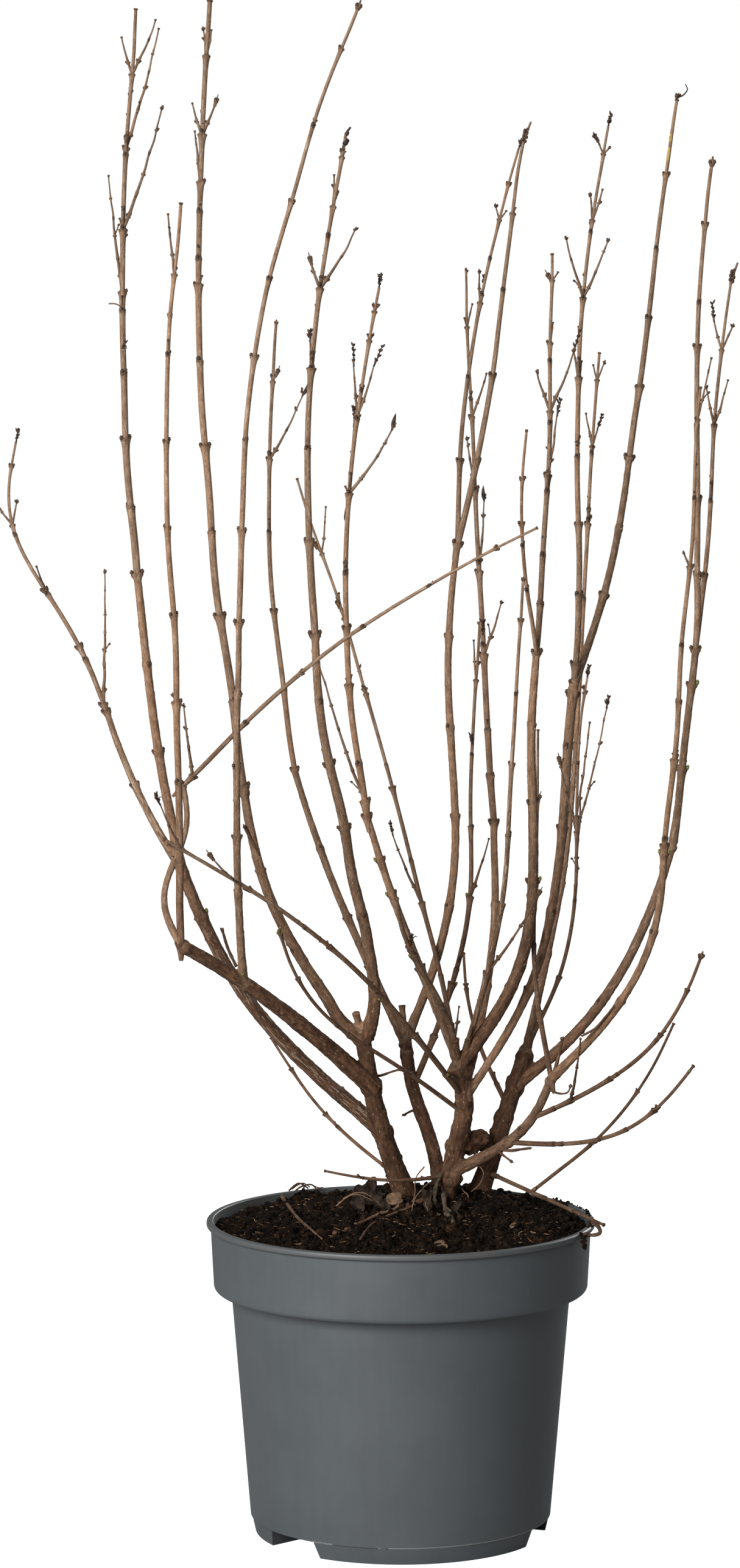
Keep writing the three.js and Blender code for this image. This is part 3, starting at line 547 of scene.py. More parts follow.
def grow_pairs(leader, pairs, draw):
    """One leader's twigs by the part's rule. Twigs too short for the part's source are kept as spurs."""
    found = []
    for share, left, right, *angle in pairs:
        degrees = angle[0] if angle else TWIG["angle"]
        mean = (left + right) / 2
        below = share - CROSS["internode"] / leader.length
        front = mean * (CROSS["front"] + CROSS["front_more"] * next(draw))
        back = mean * (CROSS["back"] + CROSS["back_more"] * next(draw))
        wanted = ((share, 180, left), (share, 0, right), (below, 270, front), (below, 90, back))
        for at, compass, length in wanted:
            if at < 0:
                continue
            thick = min(TWIG["thickness"], 2 * TWIG["of_leader"] * float(leader.radius(at)))
            foot, along = leader.point(at)[0], leader.tangent(at)[0]
            twig = Twig(foot, along, towards(compass), length, thick, degrees)
            if length < TWIG["shortest"]:
                spurs.append((twig, leader, at, compass))
            elif fits(twig, leader):
                twigs.append((twig, leader, at, compass))
                found.append((twig, twig.samples(SAMPLES["twig"])))
        leader.nodes.append((share, 0, PAIR_SWELL))
        if below > 0:
            leader.nodes.append((below, CROSS_NODE["compass"], CROSS_NODE["swell"]))
    return found


draws = {number: seeded(FIRST_SEED + number) for number in range(len(MASSES))}
for leader, pairs, number in leaders:
    taken += grow_pairs(leader, pairs, draws[number])


def fill_nodes(limb, first, swell):
    """Adds plain nodes wherever a stretch without one is longer than the usual space between nodes."""
    twist = 15 + 45 * limb.rng.random()
    marks = [first] + sorted(n[0] for n in limb.nodes) + [1.0]
    for low, high in zip(marks[:-1], marks[1:]):
        gap = (high - low) * limb.length
        extra = int(gap // NODE_SPACING)
        for k in range(extra):
            share = low + (high - low) * (k + 1) / (extra + 1)
            limb.nodes.append((share, twist + 90 * (len(limb.nodes) % 2), swell))
    limb.nodes.sort()


# Nodes that stand out in the photo: (limb, share, compass of the pair, swelling, bearings of its green buds)
SEEN_NODES = (
    ("stem_centre_left", 0.695, 20, 0.3, (200,)), ("stem_centre_left", 0.83, 10, 0.3, (190,)),
    ("twigs_knob", 0.665, 20, 0.6, (200,)), ("shoot_front", 0.33, 20, 0.6, (200,)),
    ("shoot_front", 0.077, 300, 0.5, (300,)), ("twigs_inner_mid", 0.228, 10, 0.6, (10,)),
    ("stem_centre_right", 0.478, 0, 0.2, (0,)), ("stem_far_right", 0.82, 0, 0.45, (0,)),
    ("stem_far_right", 0.38, 0, 0.45, (0, 180)), ("stem_low_right", 0.975, 0, 0.45, (0, 180)),
    ("shoot_front_low", 0.985, 0, 0.6, (0, 180)), ("shoot_right_low", 0.725, 20, 0.6, (20,)),
    ("shoot_right_low", 0.97, 80, 0.6, (260,)), ("bough_low_left", 0.84, 15, 0.3, (15,)),
    ("bough_left", 0.72, 0, 0.0, (0,)), ("stem_left", 0.41, 0, 0.3, ()), ("stem_mid_left", 0.53, 0, 0.25, ()),
    ("stem_behind_left", 0.72, 280, 0.3, ()), ("stem_behind_left", 0.47, 0, 0.35, ()),
    ("stem_right", 0.975, 0, 0.2, ()), ("stem_right", 0.855, 250, 0.12, ()),
    ("twigs_right", 0.035, 0, 0.6, ()),
)

for name, share, compass, swell, greens in SEEN_NODES:
    grown[name].nodes.append((share, compass, swell))
    grown[name].greens[share] = greens
grown["twigs_low_right"].greens[0.19] = (0, 180)
grown["twigs_inner_mid"].greens[0.42] = (180,)
for limb in bark_limbs.values():
    fill_nodes(limb, 0.1, PLAIN_SWELL["thick" if limb.girth[0] > THICK_BOUGH else "slender"])
for leader, _, _ in leaders:
    fill_nodes(leader, 0.0, PLAIN_SWELL["leader"])

# ---------------------------------------------------------------- materials


def material(name):
    made = bpy.data.materials.new(name)
    made.use_nodes = True
    tree = made.node_tree
    shader = next(n for n in tree.nodes if n.type == "BSDF_PRINCIPLED")
    return made, tree, shader


def plug(tree, value, socket):
    """Feeds a socket, by a link or by a value."""
    if isinstance(value, bpy.types.NodeSocket):
        tree.links.new(value, socket)
    else:
        socket.default_value = value


def add(tree, kind, **inputs):
    """A node of that kind. Underscored names set its properties, the others feed its inputs."""
    node = tree.nodes.new(kind)
    for key, value in inputs.items():
        if key.startswith("_"):
            setattr(node, key[1:], value)
        else:
            plug(tree, value, node.inputs[key])
    return node


def attribute(tree, name):
    """A value kept for each vertex."""
    return add(tree, "ShaderNodeAttribute", _attribute_name=name).outputs["Fac"]


def object_space(tree, stretch=(1, 1, 1)):
    place = add(tree, "ShaderNodeTexCoord").outputs["Object"]
    return add(tree, "ShaderNodeMapping", Vector=place, Scale=stretch).outputs[0]


def cloudy(tree, space, scale, detail, roughness=0.5):
    """Noise from 0 to 1; a higher scale makes it finer."""
    texture = add(tree, "ShaderNodeTexNoise", Vector=space, Scale=scale, Detail=detail, Roughness=roughness)
    return texture.outputs["Fac"]


def ramp(tree, value, stops):
    """The colour that belongs to a value; stops are (value, colour)."""
    node = add(tree, "ShaderNodeValToRGB", Fac=value)
    elements = node.color_ramp.elements
    while len(elements) > 1:
        elements.remove(elements[-1])
    for i, (place, colour) in enumerate(stops):
        element = elements[0] if i == 0 else elements.new(place)
        element.position = place
        element.color = (*colour, 1)
    return node.outputs["Color"]


def grey_ramp(tree, value, low, low_tone, high, high_tone):
    return ramp(tree, value, [(low, (low_tone,) * 3), (high, (high_tone,) * 3)])


def mix(tree, kind, factor, a, b):
    node = add(tree, "ShaderNodeMix", _data_type="RGBA", _blend_type=kind)
    for number, value in ((0, factor), (6, a), (7, b)):
        plug(tree, (*value, 1) if isinstance(value, tuple) else value, node.inputs[number])
    return node.outputs[2]


def maths(tree, kind, a, b=0.0, c=0.0):
    node = add(tree, "ShaderNodeMath", _operation=kind)
    for socket, value in zip(node.inputs, (a, b, c)):
        plug(tree, value, socket)
    return node.outputs[0]


def times(tree, a, b):
    return maths(tree, "MULTIPLY", a, b)


def plus(tree, a, b):
    return maths(tree, "ADD", a, b)


def surface(tree, shader, colour, roughness, shine, relief, strength, depth):
    """Feeds a surface with its colour, roughness, shine and a fine relief of that depth in metres."""
    bump = add(tree, "ShaderNodeBump", Strength=strength, Distance=depth, Height=relief)
    plug(tree, colour, shader.inputs["Base Color"])
    plug(tree, roughness, shader.inputs["Roughness"])
    plug(tree, shine, shader.inputs["Specular IOR Level"])
    plug(tree, bump.outputs[0], shader.inputs["Normal"])


def grain_space(tree, along):
    """Coordinates that run with the limb: two across it and one along it, scaled by `along`."""
    x, y, z = (attribute(tree, name) for name in ("grain_x", "grain_y", "grain_z"))
    return add(tree, "ShaderNodeCombineXYZ", X=x, Y=y, Z=times(tree, z, along)).outputs[0]


# Colours of the bark and of what lies on it; tones above 1 make it lighter
OLD_BARK = ((0.28, (0.037, 0.0182, 0.0102)), (0.46, (0.068, 0.0345, 0.0195)),
            (0.58, (0.096, 0.051, 0.029)), (0.76, (0.152, 0.086, 0.051)))
YOUNG_BARK = ((0.3, (0.125, 0.076, 0.0465)), (0.5, (0.202, 0.128, 0.081)), (0.7, (0.295, 0.198, 0.131)))
LIMB_TONES = ((0.34, (0.82, 0.8, 0.78)), (0.5, (1.0, 1.0, 1.0)), (0.66, (1.22, 1.12, 1.04)))
FLAKE_TONES = ((0.0, (0.5, 0.46, 0.42)), (0.5, (1, 1, 1)), (1.0, (1.4, 1.36, 1.3)))
FINE_TONES = ((0.3, (0.45, 0.42, 0.4)), (0.5, (1, 1, 1)), (0.68, (1.5, 1.44, 1.38)))
# Silvery streaks: partly peeling bark and partly painted highlights
SILVERY_PEEL_AND_HIGHLIGHT = (0.47, 0.37, 0.28)
LENTICELS = (0.36, 0.26, 0.18)
GRIME_AND_SHADE = (0.2, 0.18, 0.165)


def bark_material():
    """Brown mottled bark on the trunks that turns smooth grey-tan on young wood, with pale lenticels and
    silvery streaks that are partly peeling bark and partly painted highlights. Each limb has a slightly
    different tone, and grime with painted shade darkens the crotches, the old stub's hollow, the root crown
    and the nodes."""
    made, tree, shader = material("bark")
    space = grain_space(tree, 0.3)
    long_space = grain_space(tree, 0.09)
    age, cover, dirt, peel = (attribute(tree, name) for name in ("age", "flake", "dirt", "peel"))
    youth = maths(tree, "MAXIMUM", maths(tree, "SUBTRACT", 0.9, age), 0.0)
    broad = cloudy(tree, space, 0.42, 6, 0.66)
    fine = cloudy(tree, space, 2.1, 6, 0.72)
    colour = mix(tree, "MIX", age, ramp(tree, broad, YOUNG_BARK), ramp(tree, broad, OLD_BARK))
    limb_tone = ramp(tree, cloudy(tree, long_space, 0.045, 1), LIMB_TONES)
    colour = mix(tree, "MULTIPLY", 0.9, colour, limb_tone)
    colour = mix(tree, "MULTIPLY", times(tree, age, 0.9), colour, ramp(tree, cover, FLAKE_TONES))
    colour = mix(tree, "MULTIPLY", 0.85, colour, ramp(tree, fine, FINE_TONES))
    spots = add(tree, "ShaderNodeTexVoronoi", Vector=grain_space(tree, 0.4), Scale=0.5)
    lenticel = maths(tree, "LESS_THAN", spots.outputs["Distance"], 0.14)
    strips = cloudy(tree, long_space, 1.15, 3, 0.6)
    # Silvery streaks: peeling bark on young wood, and painted highlights on the stretches where peel is set
    edge = maths(tree, "SUBTRACT", 0.61, times(tree, peel, 0.035))
    much = plus(tree, times(tree, youth, 0.4), times(tree, peel, 0.3))
    peel_and_highlight_streak = times(tree, maths(tree, "GREATER_THAN", strips, edge), much)
    colour = mix(tree, "MIX", peel_and_highlight_streak, colour, SILVERY_PEEL_AND_HIGHLIGHT)
    colour = mix(tree, "MIX", times(tree, lenticel, 0.5), colour, LENTICELS)
    # Dirt and painted shade: the bark is darkened where dirt lies and where shade falls, in the crotches,
    # under the old stub and round the nodes
    colour = mix(tree, "MULTIPLY", dirt, colour, GRIME_AND_SHADE)
    roughness = grey_ramp(tree, fine, 0.3, 0.95, 0.8, 0.72)
    relief = plus(tree, fine, times(tree, lenticel, 0.3))
    surface(tree, shader, colour, roughness, 0.16, relief, 0.7, 0.0005)
    return made


def bud_material(name, dark, light):
    """Overlapping bud scales: bands from dark to light along each bud."""
    made, tree, shader = material(name)
    scales = maths(tree, "SINE", times(tree, attribute(tree, "along"), 14.0))
    waves = plus(tree, scales, times(tree, cloudy(tree, object_space(tree), 900.0, 3), 2.0))
    colour = ramp(tree, maths(tree, "MULTIPLY_ADD", waves, 0.25, 0.25), [(0.15, dark), (0.8, light)])
    surface(tree, shader, colour, 0.6, 0.25, waves, 0.5, 0.0003)
    return made


PEAT = ((0.35, (0.003, 0.002, 0.0015)), (0.5, (0.009, 0.006, 0.0042)),
        (0.62, (0.026, 0.0145, 0.008)), (0.75, (0.06, 0.033, 0.017)))
PEAT_TONES = ((0.35, (0.35, 0.33, 0.3)), (0.55, (1, 1, 1)), (0.7, (1.9, 1.7, 1.5)))
FLECKS = ((0.0, (0.2, 0.075, 0.022)), (0.4, (0.16, 0.11, 0.07)), (0.8, (0.33, 0.25, 0.16)))


def soil_material():
    """Dark moist peat: near black in the hollows, brown on the crumbs, with orange and grey flecks."""
    made, tree, shader = material("peat")
    place = object_space(tree)
    fine = cloudy(tree, place, 900.0, 5, 0.75)
    colour = ramp(tree, cloudy(tree, place, 130.0, 6, 0.7), PEAT)
    colour = mix(tree, "MULTIPLY", 0.9, colour, ramp(tree, fine, PEAT_TONES))
    spots = add(tree, "ShaderNodeTexVoronoi", Vector=place, Scale=420.0)
    fleck = maths(tree, "LESS_THAN", spots.outputs["Distance"], 0.13)
    kind = add(tree, "ShaderNodeSeparateColor", Color=spots.outputs["Color"]).outputs[0]
    colour = mix(tree, "MIX", times(tree, fleck, 0.4), colour, ramp(tree, kind, FLECKS))
    surface(tree, shader, colour, 1.0, 0.06, fine, 0.8, 0.0012)
    return made


def plain_material(name, dark, light, scale, stretch=(1, 1, 1)):
    """A dry plant scrap or a crumb: two tones by fine noise."""
    made, tree, shader = material(name)
    grain = cloudy(tree, object_space(tree, stretch), scale, 5, 0.7)
    surface(tree, shader, ramp(tree, grain, [(0.36, dark), (0.66, light)]), 0.9, 0.1, grain, 0.5, 0.0004)
    return made


SLATE = ((0.3, (0.056, 0.064, 0.069)), (0.7, (0.066, 0.075, 0.08)))
DUST = (0.26, 0.265, 0.26)
RIM_DIRT = (0.1, 0.082, 0.065)
SCUFF = (0.24, 0.245, 0.245)
RIM_DIRT_FROM = 0.1825  # height in metres above which dirt dulls the rim
PARTING_LINE = dict(above_skirt=0.0001, half_height=0.0005)  # where the pot's foot is worn pale, in metres


def pot_material():
    """Slate grey moulded plastic with faint upright flow lines, fine orange peel and a worn parting line."""
    made, tree, shader = material("slate_plastic")
    place = object_space(tree)
    streaks = cloudy(tree, object_space(tree, (1, 1, 0.05)), 210.0, 4, 0.55)
    cloud = cloudy(tree, place, 18.0, 4, 0.6)
    dust = cloudy(tree, place, 1400.0, 3, 0.6)
    flow_lines = grey_ramp(tree, streaks, 0.3, 0.93, 0.7, 1.06)
    colour = mix(tree, "MULTIPLY", 0.4, ramp(tree, cloud, SLATE), flow_lines)
    speck = times(tree, maths(tree, "GREATER_THAN", dust, 0.735), 0.4)
    colour = mix(tree, "MIX", speck, colour, DUST)
    height = add(tree, "ShaderNodeSeparateXYZ", Vector=place).outputs["Z"]
    edge = times(tree, maths(tree, "GREATER_THAN", height, RIM_DIRT_FROM), cloud)
    colour = mix(tree, "MIX", times(tree, edge, 0.35), colour, RIM_DIRT)
    parting = POT["skirt_height"] * MM + PARTING_LINE["above_skirt"]
    from_parting = maths(tree, "ABSOLUTE", maths(tree, "SUBTRACT", height, parting))
    on_parting = maths(tree, "LESS_THAN", from_parting, PARTING_LINE["half_height"])
    worn = times(tree, on_parting, maths(tree, "GREATER_THAN", cloud, 0.47))
    colour = mix(tree, "MIX", times(tree, worn, 0.75), colour, SCUFF)
    patches = maths(tree, "MULTIPLY_ADD", cloud, 0.8, times(tree, streaks, 0.2))
    peel = plus(tree, dust, times(tree, streaks, 0.6))
    surface(tree, shader, colour, grey_ramp(tree, patches, 0.3, 0.42, 0.7, 0.5), 0.45, peel, 0.12, 0.0004)
    return made


bark = bark_material()
BARK_VALUES = ("grain_x", "grain_y", "grain_z", "age", "flake", "dirt", "peel")
# Where a limb's bark has silvery strips, partly peeling bark and partly painted highlights: from which share
# to which
PEELING_AND_HIGHLIGHTS = {"bough_low_left": (0.05, 0.8), "shoot_front": (0.66, 0.93), "twigs_pale": (0.1, 0.7),
           "stem_far_left": (0.2, 0.7)}


def peel_and_highlight_of(name, share):
    low, high = PEELING_AND_HIGHLIGHTS.get(name, (2, 3))
    return smooth(low - 0.04, low + 0.04, share) * smooth(high + 0.04, high - 0.04, share)


# ---------------------------------------------------------------- trunks and boughs: fused, with bark relief

OLD_BELOW = 280.0  # bark is older and darker low down,
YOUNG_ABOVE = 560.0  # and young in the crown
YOUNG_RADIUS = 1.9
OLD_RADIUS = 4.4


def low_down(height):
    """1 near the ground and 0 in the crown."""
    return smooth(YOUNG_ABOVE, OLD_BELOW, height)


def age_of(radius):
    """0 on young shoots, 1 on the thick old trunks."""
    return smooth(YOUNG_RADIUS, OLD_RADIUS, radius)


def nearness(points, centre, reach):
    """1 at the centre, fading over that reach."""
    return np.exp(-((points - centre) ** 2).sum(1) / reach ** 2)


KNOB = dict(sides=20, rings=12, pole=0.15, roughness=0.22, lump=1.6)


def knob(centre, radius, squash, seed):
    """A rough burl, as a distorted ball."""
    sides, rings, pole = KNOB["sides"], KNOB["rings"], KNOB["pole"]
    turn, tilt = np.meshgrid(turns(sides), np.linspace(pole, math.pi - pole, rings), indexing="ij")
    ball = np.stack([np.sin(tilt) * np.cos(turn), np.sin(tilt) * np.sin(turn), np.cos(tilt)], -1)
    ball = ball.reshape(-1, 3)
    rough = 1 + KNOB["roughness"] * noise(ball * KNOB["lump"] + seed, seed)
    points = np.asarray(centre) + ball * rough[:, None] * radius * np.asarray(squash)
    i, j = np.meshgrid(np.arange(sides), np.arange(rings - 1), indexing="ij")
    k = (i + 1) % sides
    quads = np.stack([i * rings + j, i * rings + j + 1, k * rings + j + 1, k * rings + j], -1).reshape(-1, 4)
    top = np.arange(sides) * rings
    return points, (quads, top[None, :], (top + rings - 1)[None, ::-1])


# Swollen places, where stems leave or where one was cut off long ago: (limb, share, radius, squash)
BURLS = (
    ("trunk_left", 1.01, 5.0, (1.1, 1, 1)), ("trunk_inner", 0.98, 4.4, (1, 1, 1.1)),
    ("trunk_centre", 0.97, 6.8, (1.15, 1, 0.9)), ("trunk_right", 0.55, 6.0, (1, 1, 1.1)),
    ("trunk_centre", 0.42, 6.6, (1.1, 1, 0.9)), ("trunk_centre", 0.72, 5.9, (1, 1, 1.3)),
    ("trunk_right", 0.98, 5.2, (1, 1, 1.2)), ("trunk_right", 0.78, 6.2, (1, 1, 1.2)),
    ("trunk_right", 0.36, 6.4, (1, 1, 1.2)), ("trunk_left", 0.42, 6.0, (1.1, 1, 1)),
    ("trunk_left", 0.7, 5.9, (1.15, 1, 1)), ("trunk_low_right", 0.98, 3.4, (1, 1, 1)),
    ("trunk_low_right", 0.41, 3.9, (1.1, 1, 1)), ("bough_left", 0.98, 4.3, (1, 1, 1)),
    ("bough_low_left", 0.98, 4.2, (1, 1, 1.1)), ("stem_right", 0.98, 3.5, (1, 1, 1.2)),
    ("bough_right", 0.98, 3.2, (1, 1, 1)), ("stem_inner_left", 0.98, 3.4, (1, 1, 1.2)),
)
# Lumps on the old stub: (share, radius, how far under its line, squash)
STUB_LUMPS = (
    (0.12, 5.2, 3.0, (1, 1, 1)), (0.38, 5.6, 2.2, (1.1, 1.1, 0.9)), (0.62, 5.2, 1.2, (1, 1.2, 0.95)),
    (0.86, 5.4, 1.8, (1.1, 1, 0.9)), (1.0, 4.4, 4.6, (1, 0.9, 1.1)), (0.5, 4.2, 6.4, (1.3, 0.9, 0.8)),
)
WARTS = dict(seed=19, first=6, last=4, apart=11, stray=2.5, sunk=0.94)


def burls():
    """Swollen places on the trunks and boughs, with the bulge over the centre trunk's narrow foot."""
    for name, share, size, squash in BURLS:
        yield knob(bark_limbs[name].bent(share, BARK_BEND)[0], size, squash, int(size * 10))
    yield knob(RING_BULGE["centre"], RING_BULGE["radius"], RING_BULGE["squash"], RING_BULGE["seed"])


def stub_lumps():
    """The old stub is a gnarled broken end: rough lumps along it and under it."""
    for share, size, drop, squash in STUB_LUMPS:
        yield knob(bark_limbs["old_stub"].point(share)[0] - UP * drop, size, squash, int(share * 50) + 3)


def warts():
    """Old bud scars and knots, which stand out of the trunks' and boughs' outlines."""
    rng = np.random.default_rng(WARTS["seed"])
    for limb in bark_limbs.values():
        for share in np.arange(WARTS["first"], limb.length - WARTS["last"], WARTS["apart"]) / limb.length:
            share = share + rng.normal() * WARTS["stray"] / limb.length
            radius = float(limb.radius(share))
            turn = rng.random() * 2 * math.pi
            size = (0.55 + 0.75 * rng.random()) * min(radius / 4, 1.2)
            sideways, outward = frames(limb.tangent(share))
            out = (math.sin(turn) * sideways + math.cos(turn) * outward)[0]
            centre = limb.bent(share, BARK_BEND)[0] + out * radius * WARTS["sunk"]
            yield knob(centre, size, (1, 1, 1.3), int(rng.integers(90)))


# Where dirt and painted shade darken the bark, most of all in the crotches and the old stub's hollow: (right,
# back, up, how far it reaches, how dark)
DIRT_AND_SHADE_SPOTS = ((46, 26, 222, 11, 0.97), (53, 26, 221, 9, 0.95), (40, 22, 231, 7, 0.8), (24, 26, 205, 7, 0.5),
         (-13.5, 13, 274, 4, 0.9),
         (28, 22, 192, 12, 0.45), (5, 30, 190, 12, 0.4), (46, 42, 190, 14, 0.5), (24, 50, 192, 12, 0.6),
         (-26, 12, 309.5, 3, 0.9), (1, 55, 307.5, 3, 0.9), (35, 14, 274, 8, 0.35), (75, 42, 277, 7, 0.3),
         (-22, 8, 290, 7, 0.3), (3, 52, 284, 7, 0.4), (58, 42, 214, 7, 0.4))


# How dark each point is painted, by dirt and by painted shade
def dirt_and_shade_at(points):
    total = np.zeros(len(points))
    for x, y, z, reach, dark in DIRT_AND_SHADE_SPOTS:
        total = np.maximum(total, dark * nearness(points, (x, y, z), reach))
    return total


KNOTTY_REACH = 11.0  # how far the knots at a trunk's top and on the stub reach
STUB_MIDDLE = (46, 27, 226)


def bark_tubes():
    """All trunks and boughs as tubes. With them comes what is known at each ring: its middle, two directions
    across it, its radius, its place along the limb, its limb's pattern shift and how much silvery peeling and
    painted highlight it has."""
    tubes = Pile()
    rings = []
    for number, (name, limb) in enumerate(bark_limbs.items()):
        share = np.linspace(0, 1, max(8, int(limb.length / 1.4)) + 1)
        line = limb.bent(share, BARK_BEND)
        along = heading(line)
        radius = limb.swollen(share)
        collar = 0 if limb.rooted else 0.25 * np.exp(-share * limb.length / (2.2 * limb.girth[0]))
        flared = 0.3 * np.exp(-(1 - share) * limb.length / 1.2) if name.endswith("_cut") else 0
        waist = waist_at(line[:, 2]) if name == "trunk_centre" else 0
        tubes.add(*tube(line, along, radius * (1 + collar + flared - waist), ROUND["bark"]))
        shift = np.full(len(line), PATTERN_STEP * number)
        rings.append((line, *frames(along), radius, share * limb.length, shift, peel_and_highlight_of(name, share)))
    return tubes, [np.concatenate(column) for column in zip(*rings)]


def waist_at(height):
    """How much the centre trunk is narrowed at its foot."""
    return RING_BULGE["waist"] * smooth(RING_BULGE["foot"] + 4, RING_BULGE["foot"], height)


def fused(pile):
    """One skin round all bodies of a pile: its points in mm, their normals and its faces."""
    draft = pile.piece("draft_bark", bark, "bark")
    fuse = draft.modifiers.new("fuse", "REMESH")
    fuse.mode = "VOXEL"
    fuse.voxel_size = BARK_VOXEL * MM
    relax = draft.modifiers.new("relax", "SMOOTH")
    relax.factor = 0.5
    relax.iterations = 2
    skin = bpy.data.meshes.new_from_object(draft.evaluated_get(bpy.context.evaluated_depsgraph_get()))
    bpy.data.objects.remove(draft)
    points = np.empty(len(skin.vertices) * 3)
    skin.vertices.foreach_get("co", points)
    normals = np.empty(len(skin.vertices) * 3)
    skin.vertices.foreach_get("normal", normals)
    quads = np.empty(len(skin.polygons) * 4, int)
    skin.polygons.foreach_get("vertices", quads)
    return points.reshape(-1, 3) / MM, normals.reshape(-1, 3), quads.reshape(-1, 4)


def nearest_ring(points, middles):
    """For each point, which ring's middle is nearest."""
    tree = kdtree.KDTree(len(middles))
    for i, middle in enumerate(middles):
        tree.insert(middle, i)
    tree.balance()
    return np.array([tree.find(p)[1] for p in points])


def bark_relief(points, grain, age):
    """How far each point stands out, and how flaky the bark is there: plates and strands along the limb,
    pimples and lumps, and knots at the trunks' tops and on the old stub."""
    plates = smooth(-0.2, 0.2, noise(grain * (0.62, 0.62, 0.1), 1)) - 0.5
    strands = noise(grain * (1.15, 1.15, 0.3), 2)
    pimples = noise(points / 1.5, 4)
    lumps = noise(points / 6, 3)
    rough = 0.3 * plates + 0.7 * strands + 0.9 * pimples
    relief = (0.06 + 0.13 * age) * rough + (0.04 + 0.13 * age) * lumps
    knotty = sum(nearness(points, grown[row["name"]].tip, KNOTTY_REACH) for row in TRUNKS)
    relief += knotty * (0.8 * noise(points / 2.6, 6) + 0.35 * noise(points / 1.2, 7))
    gnarled = nearness(points, STUB_MIDDLE, KNOTTY_REACH)
    relief += gnarled * (1.3 * noise(points / 3.4, 8) + 0.7 * noise(points / 1.7, 9))
    cover = np.clip(0.5 + 0.35 * plates + 0.35 * strands + 0.25 * pimples, 0, 1)
    return relief, cover


def fused_bark():
    """The fused skin of the trunks and boughs with its relief, parted into a lower and an upper piece."""
    tubes, (middles, across, beside, reach, aside, shift, peels_and_highlights) = bark_tubes()
    for points, faces in (*burls(), *stub_lumps(), *warts()):
        tubes.add(points, faces)
    points, normals, quads = fused(tubes)
    near = nearest_ring(points, middles)
    away = points - middles[near]
    ahead = (away * np.cross(beside[near], across[near])).sum(1)
    grain = np.stack([(away * across[near]).sum(1), (away * beside[near]).sum(1), aside[near] + ahead], 1)
    grain += shift[near][:, None]
    age = np.clip(0.35 + 0.65 * age_of(reach[near]), 0, 1) * (0.35 + 0.65 * low_down(points[:, 2]))
    relief, cover = bark_relief(points, grain, age)
    points = points + normals * relief[:, None]
    values = dict(grain_x=grain[:, 0], grain_y=grain[:, 1], grain_z=grain[:, 2], age=age, flake=cover,
                  dirt=dirt_and_shade_at(points), peel=peels_and_highlights[near])
    lower = [row["name"] for row in TRUNKS + BOUGHS if bark_limbs[row["name"]].foot[2] < SLICE]
    upper = [row["name"] for row in BOUGHS if bark_limbs[row["name"]].tip[2] >= SLICE]
    above = points[quads].mean(1)[:, 2] >= SLICE
    for name, chosen, owners in (("bark_trunks", ~above, lower), ("bark_stems", above, upper)):
        used, renumbered = np.unique(quads[chosen], return_inverse=True)
        pile = Pile(*BARK_VALUES)
        kept = {key: value[used] for key, value in values.items()}
        pile.add(points[used], (renumbered.reshape(-1, 4),), **kept)
        pile.piece(name, bark, "bark", owners)


fused_bark()

# ---------------------------------------------------------------- leaders, twigs, spurs


def add_stem(pile, line, along, radius, sides, number, age, dirt=0.0, peel=0.0):
    """A tube with its bark coordinates."""
    verts, faces = tube(line, along, radius, sides)
    n = len(line)
    aside = np.concatenate([[0], np.cumsum(np.linalg.norm(np.diff(line, axis=0), axis=1))])
    sideways, outward = frames(along)
    owner = np.concatenate([np.repeat(np.arange(n), sides), [0, n - 1]])
    away = verts - line[owner]
    shift = PATTERN_STEP * number
    age, peel, dirt = (np.broadcast_to(value, n) for value in (age, peel, dirt))
    pile.add(verts, faces, grain_x=(away * sideways[owner]).sum(1) + shift,
             grain_y=(away * outward[owner]).sum(1) + shift, grain_z=aside[owner] + shift,
             age=age[owner], flake=0.5, dirt=dirt[owner], peel=peel[owner])


LEADER_STEP = 3.3  # between two rings of a leader
NODE_RINGS = (-9, -6, -4, -2.6, -1.6, -0.9, -0.4, 0, 0.3, 0.6, 1, 2, 4)  # rings round each node
CHALICE = dict(below=3.4, above=0.6, least=0.15, towards_buds=1.1, neck=0.09, neck_reach=9)
HIDDEN_TAPER = 0.45  # how much thinner a leader starts where it starts inside its bough


def leader_rings(leader):
    """Shares along a leader, close together at its nodes."""
    start = -leader.sunk / leader.length
    shares = list(np.linspace(start, 1, max(8, int(leader.length / LEADER_STEP))))
    for node, _, _ in leader.nodes:
        shares += [node + d / leader.length for d in NODE_RINGS]
    return np.unique(np.round(np.clip(shares, start, 1), 5))


def shoulder(leader, share, sides, along):
    """Radii round each ring: below a node the stem widens like a chalice towards its two buds, and above it
    has a neck."""
    rings = np.repeat(leader.radius(share)[:, None], sides, 1)
    across = spokes(along, sides)
    for node, compass, swell in leader.nodes:
        d = (share - node) * leader.length
        below = np.exp(np.minimum(d, 0) / CHALICE["below"])
        push = swell * np.where(d < 0, below, np.exp(-(d / CHALICE["above"]) ** 2))
        neck = CHALICE["neck"] * np.where(d > 0, np.exp(-np.maximum(d, 0) / CHALICE["neck_reach"]), 0)
        facing = CHALICE["least"] + CHALICE["towards_buds"] * np.abs(across @ towards(compass)) ** 1.5
        rings *= 1 + push[:, None] * facing - neck[:, None]
    hidden = np.clip(-share * leader.length / GOES_ON["sunk"], 0, 1)
    return rings * (1 - HIDDEN_TAPER * hidden[:, None])


TWIG_SEED = 5000
TWIG_STEP = 1.6  # between two rings of a twig


